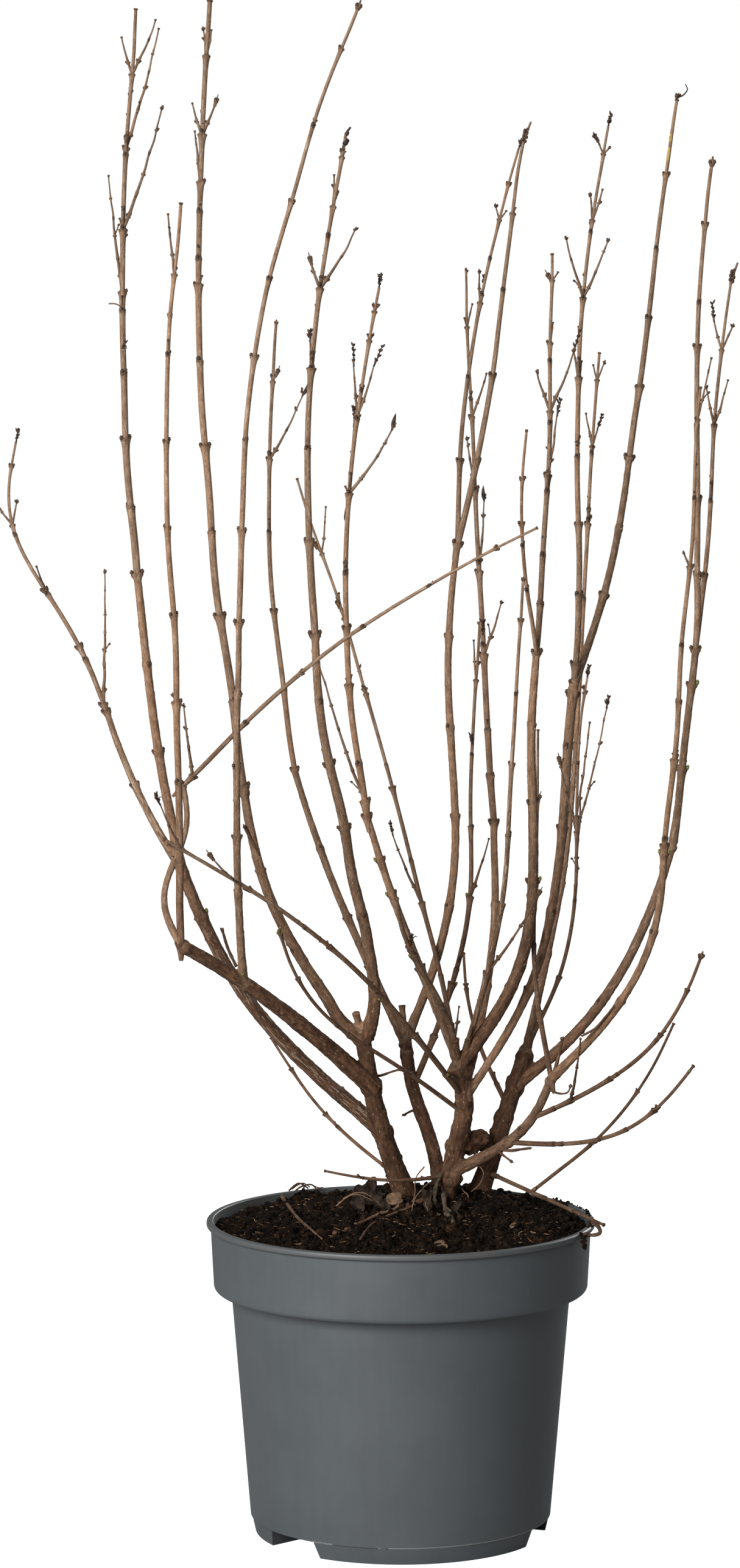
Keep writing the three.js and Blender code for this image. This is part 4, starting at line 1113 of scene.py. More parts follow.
def twig_shape(twig, number):
    """A twig with slight bends, swollen nodes of its own and a small cup at its end."""
    rng = np.random.default_rng(TWIG_SEED + number)
    share = np.linspace(0, 1, max(6, int(twig.length / TWIG_STEP)) + 1)
    line = twig.point(share)
    s = share * twig.length
    rows = [np.stack([s / 9, s * 0 + number, s * 0 + 3.7 * k], 1) for k in range(3)]
    wander = np.stack([noise(row, k) for k, row in enumerate(rows)], 1)
    line = line + wander * np.minimum(s / 8, 1)[:, None] * 0.35
    end = 0.36 + 0.1 * rng.random()
    radius = twig.thick / 2 * 0.9 * (1 - share) ** 1.2 + end * (1 - (1 - share) ** 1.2)
    nodes = []
    place = 7 + 6 * rng.random()
    while place < twig.length - 4:
        radius = radius * (1 + 0.42 * np.exp(-((s - place) / 0.9) ** 2))
        nodes.append(place / twig.length)
        place += 9 + 7 * rng.random()
    radius = radius * (1 + 0.75 * np.exp(-((twig.length - s) / 0.7) ** 2))
    return line, heading(line), radius, nodes


stems = Pile(*BARK_VALUES)
ears = Pile(*BARK_VALUES)
fine_twigs = Pile(*BARK_VALUES)
buds = Pile("along")
green_buds = Pile("along")
pods = Pile("along")
scars = Pile()
chance = np.random.default_rng(77)


def bearing_of(degrees, along):
    """The direction across a limb that faces this compass bearing."""
    out = towards(degrees)
    return unit(out - along * np.dot(out, along))


def add_bud(base, along, out, length, green=False, plump=0.78, lean=0.33):
    """A plump pointed bud that leans out from its stem."""
    axis = unit(along * (1 - lean) + out * lean)
    width = length * (plump + 0.1 * chance.random())
    verts, faces = lobe("bud", base, axis, length, width)
    shares = along_rings(len(PROFILES["bud"]), ROUND["bud"])
    (green_buds if green else buds).add(verts, faces, along=shares + chance.random())


def add_ear(base, along, out, size, number):
    """The ledge that holds up a bud: it widens the node upwards and outwards, like one side of a chalice."""
    axis = unit(along + out * 0.3)
    length = size * 3.2
    verts, faces = lobe("ear", base - axis * length * 0.9, axis, length, size * 1.75)
    place = np.arange(len(verts)) * 0.4
    ears.add(verts, faces, grain_x=place + number, grain_y=place * 0.7, grain_z=place + 9.0,
             age=0.3 + 0.5 * low_down(verts[:, 2]), flake=0.35, dirt=0.3)


def add_scar(base, along, out, size):
    """The leaf scar under a bud: a pale raised half moon."""
    scars.add(*lobe("scar", base - along * size * 0.6, out, 0.5 * size, size))


def add_pair(limb, share, compass, size, bend, skip=()):
    """Two opposite buds on their ears with their scars, except on the sides in `skip`, where a twig grows."""
    centre = limb.bent(share, bend)[0]
    along = limb.tangent(share)[0]
    reach = float(limb.radius(share)) * 1.05 + 0.1
    low = float(low_down(centre[2]))
    size = size * (1 - 0.35 * low)
    for side in (compass, compass + 180):
        out = bearing_of(side, along)
        base = centre + out * reach
        ear = size * (0.42 + 0.1 * chance.random())
        add_ear(base, along, out, ear, chance.integers(500))
        if round(side) % 360 in skip:
            continue
        if chance.random() < 0.5:
            add_scar(base + out * 0.32 * ear - along * 0.6 * ear, along, out, 0.42 * size)
        green = round(side) % 360 in limb.greens.get(share, ())
        if green or chance.random() < 0.94 - 0.3 * low:
            length = size * (1.5 if green else 0.82 + 0.26 * chance.random())
            foot = base + (out * 0.12 - along * 0.1) * ear
            add_bud(foot, along, out, length, green, plump=0.62 if green else 0.86, lean=0.2)


def add_cluster(base, along, size):
    """The dark crumbled head of dead bud scales and stalks at a twig's tip."""
    for k in range(5):
        out = bearing_of(72 * k + 50 * chance.random(), along)
        length = size * (0.55 + 0.4 * chance.random())
        foot = base - along * (0.3 + 0.4 * chance.random()) * size
        add_bud(foot, along, out, length, plump=0.5, lean=0.2 + 0.35 * chance.random())
    buds.add(*lobe("core", base - along * 0.5 * size, along, size, size * 0.55), along=0.2)


def add_cap(base, along, width, number):
    """A flat flared end where a twig broke off at a joint."""
    verts, faces = lobe("cap", base - along * 1.4, along, 1.5, width, ROUND["cap"])
    place = np.arange(len(verts)) * 0.3
    ears.add(verts, faces, grain_x=place + number, grain_y=place, grain_z=place, age=0.3, flake=0.3, dirt=0.5)


def add_knot(base, along, radius, number):
    """A node at the very tip: a flared end, two round buds and a stub between them."""
    spin = 60 * chance.random() - 30
    for side in (spin, spin + 180):
        out = bearing_of(side, along)
        add_ear(base - along * 2.0 + out * radius * 0.6, along, out, 1.3, number)
        foot = base - along * 2.2 + out * radius
        add_bud(foot, along, out, 1.7 + 0.9 * radius, plump=0.85, lean=0.15)
    buds.add(*lobe("stub", base - along * 2.5, along, 4.6, radius * 1.5), along=0.6)


def add_curl(base, along, size):
    """A thin withered strand that curls over."""
    turn = np.linspace(0, 1.6 + 1.4 * chance.random(), 12)
    side = bearing_of(360 * chance.random(), along)
    line = base + size * (np.sin(turn)[:, None] * along + (1 - np.cos(turn))[:, None] * side)
    line = line + (chance.random((12, 3)) - 0.5) * 0.25
    pods.add(*strand(line, np.linspace(0.5, 0.22, 12)), along=0.05)


def add_seed_head(base, along, length):
    """Dried flower remains: a stalk with crumbled dark cups round it, now and then a short pod or a withered
    strand."""
    steps = np.linspace(0, 1, 9)
    lean = unit(along + 0.25 * (chance.random(3) - 0.5))
    line = base + lean * (steps * length)[:, None]
    line = line + (chance.random((9, 3)) - 0.5) * 0.35
    pods.add(*strand(line, np.linspace(0.6, 0.4, 9)), along=0.3)
    for k in range(2, 9, 2):
        spin = chance.random() * 360
        for side in (0, 130, 230):
            out = bearing_of(spin + side, lean)
            pod = chance.random() < 0.1
            size = 3.2 + 1.4 * chance.random() if pod else 1.5 + 1.5 * chance.random()
            axis = unit(out * 0.7 + lean)
            body = lobe("pod" if pod else "cup", line[k] - out * 0.2, axis, size, 1.3, ROUND["cup"])
            pods.add(*body, along=chance.random())
    if chance.random() < 0.25:
        add_curl(line[4], lean, 1.4 + 0.8 * chance.random())


CAPSULE = np.array((0.35, 0.75, 1.1, 1.2, 1.15, 1.0, 0.75, 0.42, 0.14))  # its radius from foot to tip
CAPSULE_LENGTH = 9.5
# The strand that bends over a hook's head, from the twig's tip
HOOK = ((1.0, 0, 1.6), (3.8, 0, 2.8), (6.2, 0, 6.0), (5.0, 0, 9.4))
# The joints of a chain: (how far up each starts, true if it stands aslant, length, width)
JOINTS = ((-0.5, False, 4.4, 1.7), (2, True, 4.2, 3.2), (5, False, 3.4, 1.8), (7.6, True, 2.6, 2.6),
          (8.8, True, 4.4, 1.5))


def add_capsule(base, along):
    """A long dry capsule beside a small head of bud scales."""
    side = bearing_of(360 * chance.random(), along)
    lean = unit(unit(along + (0, 0, 0.8)) + 0.12 * side)
    steps = np.linspace(0, 1, len(CAPSULE))
    bow = side * (1.1 * np.sin(2.6 * steps))[:, None]
    line = base - along * 0.5 + lean * (steps * CAPSULE_LENGTH)[:, None] + bow
    shares = along_rings(len(CAPSULE), ROUND["capsule"])
    pods.add(*strand(line, CAPSULE, ROUND["capsule"]), along=0.9 * shares)
    beside = unit(along - 0.8 * side)
    add_twiglet(base, along, -side, 3.2, 61)
    add_cluster(base + beside * 2.4, beside, 2.2)


def add_clump(base, along, radius):
    """A knotted dark swelling with a thin dead tip beside it."""
    for k in range(11):
        out = bearing_of(117 * k, along)
        foot = base - along * (0.8 * k - 2.4) + out * radius * 0.55
        add_bud(foot, along, out, 1.8 + 0.9 * chance.random(), plump=0.9, lean=0.4)
    axis = unit(along + 0.2 * bearing_of(0, along))
    line = base - along * 3 + axis * (np.linspace(0, 1, 8) * 11)[:, None]
    add_stem(fine_twigs, line, heading(line), np.linspace(0.9, 0.6, 8), ROUND["twig"], 640, 0.3)


def add_hook(base, along, radius, number):
    """A flared joint with a dark ragged head and a long strand that bends over it."""
    add_cap(base, along, radius * 3, number)
    pods.add(*lobe("ragged", base - along * 0.6, along, 3.6, radius * 1.8), along=0.6)
    add_cluster(base + along * 2.4, unit(along + 0.35 * bearing_of(0, along)), 4.4)
    line = through([base + move for move in HOOK], 20)
    pods.add(*strand(line, np.linspace(0.55, 0.3, 20), ROUND["hook"]), along=0.4)


def add_chain(base, along, radius, number):
    """Short dead joints one above the other, some of them aslant."""
    lean = unit(along + 0.5 * bearing_of(0, along))
    add_cap(base, along, radius * 3, number)
    for up, aslant, length, width in JOINTS:
        joint = lobe("joint", base + along * up, lean if aslant else along, length, width)
        pods.add(*joint, along=0.2 + 0.6 * chance.random())


LOWEST_HEADS = 330.0  # below this height twigs end in plain caps
TIP_LOTS = (("cap", 0.45), ("cluster", 0.72), ("seeds", 0.84), ("knot", 1.0))  # kinds of end, up to which lot
# How the leaders of these masses end; the others end by chance
TIPS = {
    "twigs_inner_left": "cap", "twigs_outer_left": "cap", "twigs_elbow": "cap", "twigs_left": "knot",
    "twigs_mid_left": "chain", "twigs_behind_left": "cluster", "twigs_mid": "clump",
    "twigs_mid_fork": "seeds", "twigs_right": "seeds", "twigs_outer_right": "hook",
    "twigs_far_right": "knot", "twigs_far_right_fork": "clump", "twigs_centre_right": "cap",
    "twigs_far_left": "seeds", "twigs_centre_left": "seeds", "twigs_crossing": "cap", "shoot_front": "cap",
}
# How some twigs end: (leader, share, compass) of the twig
TWIG_TIPS = {("twigs_centre_left", 0.61, 0): "capsule", ("twigs_centre_left", 0.46, 90): "capsule",
             ("twigs_behind_left", 0.69, 0): "capsule", ("twigs_slender_right", 0.45, 0): "capsule",
             ("twigs_centre_left", 0.76, 0): "heads", ("twigs_centre_left", 0.76, 180): "heads",
             ("twigs_far_right_fork", 0.8, 180): "heads", ("twigs_far_right_fork", 0.8, 0): "cluster",
             ("twigs_far_right_fork", 0.6, 180): "cluster", ("twigs_centre_right", 0.61, 0): "heads",
             ("twigs_centre_right", 0.45, 0): "heads", ("twigs_slender_right", 0.3, 0): "cluster",
             ("twigs_mid_left", 0.69, 0): "cluster", ("twigs_right", 0.69, 0): "cluster",
             ("twigs_right", 0.69, 180): "cluster", ("twigs_mid_right", 0.76, 0): "heads"}


def tip_by_lot(lot, height):
    if height < LOWEST_HEADS:
        return "cap"
    return next(kind for kind, limit in TIP_LOTS if lot < limit)


def add_tip(base, along, radius, number, kind=None):
    """The end of a leader or twig: a flared cap, a dark crumbled head, seed stalks, a knot and so on."""
    lot = chance.random()
    kind = kind or tip_by_lot(lot, base[2])
    if kind == "cap":
        add_cap(base, along, max(radius * 2.9, 1.5), number)
    elif kind == "cluster":
        add_cluster(base, along, 2.0 + 1.4 * radius)
    elif kind == "seeds":
        add_seed_head(base - along * 0.5, along, 4 + 3 * chance.random())
    elif kind == "heads":
        add_seed_head(base - along * 4, along, 9 + 3 * chance.random())
    elif kind == "capsule":
        add_capsule(base, along)
    elif kind == "clump":
        add_clump(base, along, radius)
    elif kind == "hook":
        add_hook(base, along, radius, number)
    elif kind == "chain":
        add_chain(base - along * 8, along, radius, number)
    else:
        add_knot(base, along, radius, number)


# What sets the bark patterns of the smaller limbs apart: the first number of each kind
PATTERNS = dict(twig=300, side_twig=700, filament=760, lying=800)
SHORTEST_SPUR = 3  # shorter ones are left out
LONG_TWIG = 16  # longer twigs have buds along them
LONGEST_TWIG = 28  # still longer ones have side shoots too


def sides_with_twigs(leader):
    """For each node with twigs, by its share, the bearings where they grow."""
    found = {}
    for twig, owner, at, compass in twigs + spurs:
        if owner is leader and twig.length > SHORTEST_SPUR:
            found.setdefault(round(at, 4), set()).add(compass)
    return found


def grow_leader(leader, number):
    share = leader_rings(leader)
    line = leader.bent(share, LEADER_BEND)
    along = leader.tangent(share)
    radius = shoulder(leader, share, ROUND["leader"], along)
    age = np.clip(0.4 * age_of(leader.radius(share)) + 0.8 * low_down(line[:, 2]), 0, 1)
    # Painted shade: a dark band just above each node, in the crease where the node's shoulder meets the stem
    dirt = np.zeros(len(share))
    for node, _, _ in leader.nodes:
        dirt = np.maximum(dirt, 0.45 * np.exp(-(((share - node) * leader.length - 0.3) / 1.1) ** 2))
    add_stem(stems, line, along, radius, ROUND["leader"], number, age, dirt, peel_and_highlight_of(leader.name, share))
    with_twigs = sides_with_twigs(leader)
    for node, compass, _ in leader.nodes:
        if 0.015 < node < 0.99 or (leader.sunk and node < 0.015):
            size = 1.4 + 0.7 * float(leader.radius(node))
            add_pair(leader, node, compass, size, LEADER_BEND, with_twigs.get(round(node, 4), ()))
    add_tip(line[-1], along[-1], float(leader.radius(1)), number, TIPS.get(leader.name))


def grow_twig(twig, number, leader, share, compass):
    line, along, radius, nodes = twig_shape(twig, number)
    line = line + (leader.bent(share, LEADER_BEND)[0] - leader.point(share)[0])
    dirt = 0.15 + 0.5 * np.exp((np.linspace(0, 1, len(line)) - 1) * twig.length / 2.5)
    age = 0.25 + 0.6 * low_down(line[:, 2])
    add_stem(fine_twigs, line, along, radius, ROUND["twig"], PATTERNS["twig"] + number, age, dirt)
    for k, node in enumerate(nodes if twig.length > LONG_TWIG else ()):
        i = int(node * (len(line) - 1))
        for side in (0, 180):
            out = bearing_of(compass + 90 * (k % 2) + side, along[i])
            foot = line[i] + out * radius[i] * 0.9
            add_ear(foot, along[i], out, 0.6, number)
            lot = chance.random()
            if lot < 0.3:
                length = 1.2 + 0.7 * chance.random()
                add_bud(foot, along[i], out, length, green=chance.random() < 0.03)
            elif lot < 0.4 and twig.length > LONGEST_TWIG:
                add_twiglet(line[i], along[i], out, 3 + 4 * chance.random(), number * 7 + k)
    add_tip(line[-1], along[-1], 0.5, number, TWIG_TIPS.get((leader.name, round(share, 2), compass)))


def add_twiglet(foot, along, out, length, number):
    """The finest twigs: short dark side shoots with a bud at the end."""
    axis = unit(along * 0.85 + out * 0.5)
    share = np.linspace(0, 1, 6)
    line = foot + axis * (share * length)[:, None] + UP * (0.12 * length * share ** 2)[:, None]
    line += 0.25 * noise(np.stack([share * 3, share * 0 + number, share * 0], 1), 3)[:, None] * out
    tangents = heading(line)
    radius = np.linspace(0.55, 0.4, 6)
    add_stem(fine_twigs, line, tangents, radius, ROUND["twiglet"], number, 0.3, dirt=0.45)
    add_bud(line[-1] - tangents[-1] * 0.3, tangents[-1], out, 1.7, lean=0.25)


# Small side twigs of the boughs: (points from foot to tip, thickness at foot and tip)
SIDE_TWIGS = [
    (((-97, 2, 337), (-102, 2, 348), (-105.3, 2, 359)), (2.2, 1.6)),
    (((88.4, -22, 274), (92, -22, 286), (94.7, -22, 298)), (2.6, 1.6)),
    (((-18.4, 15, 270), (-12, 16, 270), (-4.6, 18, 272.2), (0, 18, 273), (6.2, 18, 270.5)), (1.6, 1.3)),
    (((105, -35, 301), (113, -36, 306), (119, -37, 313), (124, -38, 319)), (1.6, 1.1)),
    (((86, -22, 268), (92, -26, 266), (97, -30, 267), (99, -31, 271)), (1.5, 1.0)),
    (((10.5, 50, 244.5), (6, 49, 243), (2, 48, 241)), (1.7, 1.2)),
    (((57.5, -8, 230), (64, -11, 229.5), (70, -13, 230.5), (76, -14, 231.5)), (2.2, 1.5)),
    (((57, -7, 229), (61, -10, 226), (65.5, -12, 223)), (1.7, 1.1)),
    (((-84, 19, 401), (-87.5, 18, 409), (-92.6, 17, 419)), (2.5, 1.8)),
    (((111, -45, 194), (115, -47.5, 190.5), (115.5, -49, 187.4), (111.5, -49, 186.2), (107, -48.5, 187)),
     (2.5, 1.9)),
]

# Fine dry filaments that hang or hook from the limbs
FILAMENTS = [
    ((-167, -56, 726), (-161, -56, 725), (-158, -56, 717), (-159, -56, 707), (-157, -56, 700)),
    ((36, 20, 216), (44, 14, 218), (49, 13, 212), (47, 14, 205), (42, 16, 200)),
    ((33, 26, 203), (40, 22, 197), (39, 18, 190)),
    ((23, 16, 207), (16, 9, 206), (9, 4, 199), (6, 1, 190)),
    ((18, 12, 201), (15, 2, 196), (17, -8, 190)),
    ((14, 22, 214), (9, 16, 208), (8, 8, 198), (3, 2, 189)),
    ((-34, -8, 200), (-27, -10, 204), (-19, -10, 203), (-12, -8, 196)),
    ((-38, -8, 196), (-31, -10, 202), (-24, -10, 203), (-17, -9, 199)),
]


def through(points, steps):
    """A smooth line through the points."""
    points = np.array(points, float)
    s = np.linspace(0, len(points) - 1, steps)
    k = np.minimum(s.astype(int), len(points) - 2)
    t = (s - k)[:, None]
    pad = np.concatenate([[2 * points[0] - points[1]], points, [2 * points[-1] - points[-2]]])
    a, b, c, d = (pad[k + i] for i in range(4))
    square = (2 * a - 5 * b + 4 * c - d) * t ** 2
    cube = (3 * b - a - 3 * c + d) * t ** 3
    return 0.5 * (2 * b + (c - a) * t + square + cube)


def grow_side_twigs():
    for number, (points, (wide, narrow)) in enumerate(SIDE_TWIGS):
        line = through(points, 24)
        along = heading(line)
        radius = np.linspace(wide, narrow, 24) / 2 * (1 + 0.22 * noise(line / 2.2, 30 + number))
        pattern = PATTERNS["side_twig"] + number
        add_stem(fine_twigs, line, along, radius, ROUND["side_twig"], pattern, 0.8, dirt=0.3)
        add_tip(line[-1], along[-1], narrow / 2, number, "cluster")
    for number, points in enumerate(FILAMENTS):
        line = through(points, 30)
        line = line + 0.5 * noise(line / 3, 40 + number)[:, None] * np.array([1, 1, 0.6])
        radius = np.linspace(0.5, 0.22, 30)
        pattern = PATTERNS["filament"] + number
        add_stem(fine_twigs, line, heading(line), radius, ROUND["filament"], pattern, 0.1, dirt=0.25)


DRESSED_RADIUS = 3.9  # thicker boughs have lost their buds
SCRAPES = ((0.826, 0.866), (0.88, 0.902))  # from which share to which twigs_outer_right is scraped
SCRAPE_FORWARD = (0.25, 0.35, 0)


def dress_boughs():
    """Buds, ears and scars at the nodes of the younger boughs and stems."""
    for limb in bark_limbs.values():
        for node, compass, _ in limb.nodes:
            radius = float(limb.radius(node))
            if (radius < DRESSED_RADIUS or node in limb.greens) and 0.03 < node < 0.99:
                add_pair(limb, node, compass, 1.8 + 0.3 * radius, BARK_BEND)


def scraped_wood(leader, spans):
    """Places where the bark is scraped off the front of a leader, so that its yellow wood shows."""
    pile = Pile()
    for low, high in spans:
        share = np.linspace(low, high, 10)
        radius = leader.radius(share) * (1 - 0.25 * np.abs(np.linspace(-1, 1, 10)) ** 3)
        line = leader.bent(share, LEADER_BEND) - SCRAPE_FORWARD
        pile.add(*tube(line, leader.tangent(share), radius, ROUND["scrape"]))
    return pile


for number, (leader, _, _) in enumerate(leaders):
    grow_leader(leader, number)
shown_spurs = [row for row in spurs if row[0].length > SHORTEST_SPUR]
for number, (twig, leader, share, compass) in enumerate(twigs + shown_spurs):
    grow_twig(twig, number, leader, share, compass)
dress_boughs()
grow_side_twigs()

masses = [row["name"] for row in MASSES]
stems.piece("stems", bark, "twigs", masses)
fine_twigs.piece("fine_twigs", bark, "twigs", masses)
ears.piece("node_ears", bark, "twigs")
buds.piece("buds", bud_material("bud_scales", (0.016, 0.009, 0.006), (0.115, 0.066, 0.041)), "twigs")
green_buds.piece("green_buds", bud_material("green_scales", (0.06, 0.05, 0.018), (0.2, 0.22, 0.05)), "twigs")
pods.piece("seed_heads", bud_material("dry_pods", (0.01, 0.006, 0.0045), (0.065, 0.036, 0.023)), "twigs")
scars.piece("leaf_scars", plain_material("scar_cork", (0.25, 0.17, 0.11), (0.5, 0.39, 0.28), 700.0), "twigs")

ALONG_THE_GRAIN = (1, 1, 0.2)
yellow_wood = plain_material("yellow_wood", (0.26, 0.17, 0.045), (0.5, 0.37, 0.13), 500.0, ALONG_THE_GRAIN)
scraped_wood(grown["twigs_outer_right"], SCRAPES).piece("scraped_wood", yellow_wood, "twigs")

# ---------------------------------------------------------------- soil


# Heaps on the soil: (right, back, how far each reaches, how high)
HEAPS = (
    (96, 49, 9, 5), (-58, 92, 9, 4), (5, 28, 9, 2.5), (46, 41, 10, 2.5), (26, 14, 9, 2),
    (-78, 20, 7, 2.5), (-34, -62, 9, 2.5), (64, -60, 8, 2.5), (14, -80, 7, 2), (86, -14, 7, 2.5),
)
CLODS = ((2.0, 9, 11), (1.6, 4, 12), (1.0, 1.9, 13), (0.5, 0.95, 14))  # height, how wide, seed
SUNK_EDGE = 1.4  # how far the soil sinks towards the pot's wall


def soil_height(x, y):
    away = np.hypot(x - SOIL["mound_x"], y - SOIL["mound_y"]) / SOIL["mound_spread"]
    waves = np.sin(x / LUMPS["across"] + LUMPS["phase"]) * np.cos(y / LUMPS["along"] - x / LUMPS["skew"])
    plain = SOIL["edge"] + SOIL["back_tilt"] * y + SOIL["mound"] * np.exp(-away * away)
    return plain + LUMPS["height"] * waves


def crumbly(x, y):
    """The soil's own surface: its mound with heaps, clods and crumbs."""
    p = np.stack([x, y, x * 0], 1)
    clods = sum(height * noise(p / wide, seed) for height, wide, seed in CLODS)
    edge = smooth(94, 108, np.hypot(x, y))
    height = soil_height(x, y) + clods * (1 - 0.6 * edge) - SUNK_EDGE * edge
    for right, back, reach, high in HEAPS:
        height += high * np.exp(-((x - right) ** 2 + (y - back) ** 2) / reach ** 2)
    return height


SOIL_CUT = 152.0  # above this height the soil is modelled finely
SOIL_BEND = 172.0  # a ring of its side between the surface and the cut
SOIL_RINGS = 104
SOIL_SIDES = 580
COLLAR_GAP = 0.35  # between the soil and the collar


FACING_UP = [0, 3, 2, 1]  # the order of a band's corners that turns it over


def soil_surface():
    """A fine disc of rings, raised to the crumbly surface, with a side that runs down inside the collar."""
    reach = POT["collar_top_radius"] - WALL - COLLAR_GAP
    radius = np.concatenate([np.linspace(0.6, reach, SOIL_RINGS), [reach, reach]])
    turn = turns(SOIL_SIDES)
    x = radius[:, None] * np.sin(turn)
    y = radius[:, None] * np.cos(turn)
    z = crumbly(x.ravel(), y.ravel()).reshape(x.shape)
    z[-2:] = np.array([[SOIL_BEND], [SOIL_CUT]])
    pile = Pile()
    quads = band(len(radius), SOIL_SIDES)[:, FACING_UP]
    pile.add(np.stack([x, y, z], -1).reshape(-1, 3), (quads, np.arange(SOIL_SIDES)[None, ::-1]))
    return pile


# A crumb is an uneven icosahedron
GOLDEN = (1 + 5 ** 0.5) / 2
GOLDEN_CORNER = 1.9  # how far its corners are from its middle, before they are scaled
CORNER_PAIRS = [(one, long) for long in (GOLDEN, -GOLDEN) for one in (-1, 1)]
CRUMB_CORNERS = np.array([(one, long, 0) for one, long in CORNER_PAIRS]
                         + [(0, one, long) for one, long in CORNER_PAIRS]
                         + [(long, 0, one) for one, long in CORNER_PAIRS]) / GOLDEN_CORNER
CRUMB_FACES = np.array([
    (0, 11, 5), (0, 5, 1), (0, 1, 7), (0, 7, 10), (0, 10, 11), (1, 5, 9), (5, 11, 4),
    (11, 10, 2), (10, 7, 6), (7, 1, 8), (3, 9, 4), (3, 4, 2), (3, 2, 6), (3, 6, 8),
    (3, 8, 9), (4, 9, 5), (2, 4, 11), (6, 2, 10), (8, 6, 7), (9, 8, 1),
])


def blob(centre, size, rng):
    """A small angular crumb."""
    uneven = 0.7 + 0.6 * rng.random((12, 1))
    stretched = 0.6 + 0.8 * rng.random(3)
    return centre + CRUMB_CORNERS * uneven * stretched * size, (CRUMB_FACES,)


LITTER_REACH = 108.0
FULL_TURN = 6.28
COUNTS = dict(crumbs=5200, straws=900, spilled=40, on_rim=90)
SPILL = (106.4, -48.6)  # where soil has run down over the rim
SPILL_DEPTH = 9
SPILL_SPREAD = (1.6, 0.5, 0.4)
RIM_MIDDLE = 113.4  # radius of the crumbs on the rim
RIM_SPREAD = (0.8, 0.8, 0.1)
STRAW = np.array((0.6, 1, 1, 1, 0.9, 0.3))  # its width from end to end


def scatter(rng, count):
    """Places on the soil, even over its disc."""
    r = LITTER_REACH * np.sqrt(rng.random(count))
    a = rng.random(count) * 2 * math.pi
    x, y = r * np.cos(a), r * np.sin(a)
    return x, y, crumbly(x, y)


def fibre(base, bearing, length, width, lift, rng):
    """A dry straw: a thin curved strand lying on the soil."""
    share = np.linspace(0, 1, len(STRAW))
    flat = np.array([math.cos(bearing), math.sin(bearing), 0])
    side = np.array([-flat[1], flat[0], 0])
    bend = (rng.random() - 0.5) * 0.6 * length
    line = base + flat * ((share - 0.5) * length)[:, None] + side * (bend * 4 * share * (1 - share))[:, None]
    line = line + UP * (lift * share * length + 0.3)[:, None]
    return strand(line, width / 2 * STRAW, ROUND["straw"])


def litter():
    """Crumbs and straws on the soil, and crumbs on the rim and where soil has run down over it."""
    rng = np.random.default_rng(31)
    crumbs = Pile()
    straws = Pile()
    pale_straws = Pile()
    for x, y, z in zip(*scatter(rng, COUNTS["crumbs"])):
        crumbs.add(*blob(np.array([x, y, z + 0.3]), 0.5 + 2.4 * rng.random() ** 3, rng))
    for x, y, z in zip(*scatter(rng, COUNTS["straws"])):
        target = straws if rng.random() < 0.6 else pale_straws
        length = 1.5 + 5.5 * rng.random() ** 2
        lift = 0.3 * rng.random()
        bearing = FULL_TURN * rng.random()
        width = 0.25 + 0.4 * rng.random()
        target.add(*fibre(np.array([x, y, z]), bearing, length, width, lift, rng))
    for drop in SPILL_DEPTH * rng.random(COUNTS["spilled"]) ** 1.5:
        place = np.array([*SPILL, POT["rim_top"] + 0.4 - drop])
        place = place + rng.normal(size=3) * SPILL_SPREAD * (1 - drop / 12)
        crumbs.add(*blob(place, 0.5 + 0.8 * rng.random(), rng))
    turning = rng.random(COUNTS["on_rim"]) * 0.9 - 0.25
    for turn, high in zip(turning, rng.random(COUNTS["on_rim"])):
        place = np.array([RIM_MIDDLE * math.cos(turn), RIM_MIDDLE * math.sin(turn), POT["rim_top"] + 0.1])
        crumbs.add(*blob(place + rng.normal(size=3) * RIM_SPREAD, 0.35 + 0.9 * high ** 2, rng))
    return crumbs, straws, pale_straws


# Dead twigs and roots on the soil: (points, thickness at each end, how dark)
LYING = [
    (((-72, 78, 186), (-62, 17, 185), (-53, -24, 185), (-46, -44, 183)), (2.2, 1.0), 0.1),
    (((-39, -36, 183), (-34, -28, 184), (-30, -19, 184)), (3.0, 2.4), 0.0),
    (((-27, -12, 185), (-13, 2, 189), (1, 5, 193), (12, 10, 196), (22, 16, 200)), (2.0, 2.6), 0.0),
    (((-24, -45, 183), (-15, -12, 187), (8, 5, 194), (18, 12, 198)), (1.6, 1.8), 0.25),
    (((-68, 98, 186), (-62, 101, 190), (-56, 100, 187)), (1.2, 0.8), 0.6),
    (((-66, 98, 187), (-63, 99, 189), (-59, 98, 190.5), (-55, 99, 188)), (1.0, 0.7), 0.75),
    (((-64, 97, 186), (-60, 96, 189), (-54, 99, 189.5), (-50, 94, 186)), (1.1, 0.8), 0.6),
    (((-60, 96, 187), (-56, 97, 190), (-50, 97, 188), (-47, 95, 188.5)), (0.9, 0.6), 0.75),
]

# Dead grey roots in front of the centre trunk
ROOTS = [
    (((24, 14, 211), (21.5, 11, 205), (20, 8, 199), (20.5, 6, 191)), (2.4, 3.4), 0.0),
    (((26, 12, 200), (26, 7, 196), (27, -4, 191), (29, -12, 190), (31, -22, 186)), (3.4, 2.8), 0.0),
    (((27, 0, 193), (32, -6, 191), (37, -14, 189)), (2.0, 1.0), 0.0),
]


def lay(pile, rows):
    """Dead twigs or roots that lie on the soil."""
    for number, (points, (wide, narrow), dirt) in enumerate(rows):
        line = through(points, 14 * len(points))
        line[:, 2] = np.maximum(line[:, 2], crumbly(line[:, 0], line[:, 1]) + 0.2 * wide)
        radius = np.linspace(wide, narrow, len(line)) / 2 * (1 + 0.3 * noise(line / 1.8, 5))
        pattern = PATTERNS["lying"] + number
        add_stem(pile, line, heading(line), radius, ROUND["lying"], pattern, 0.8, dirt=dirt)


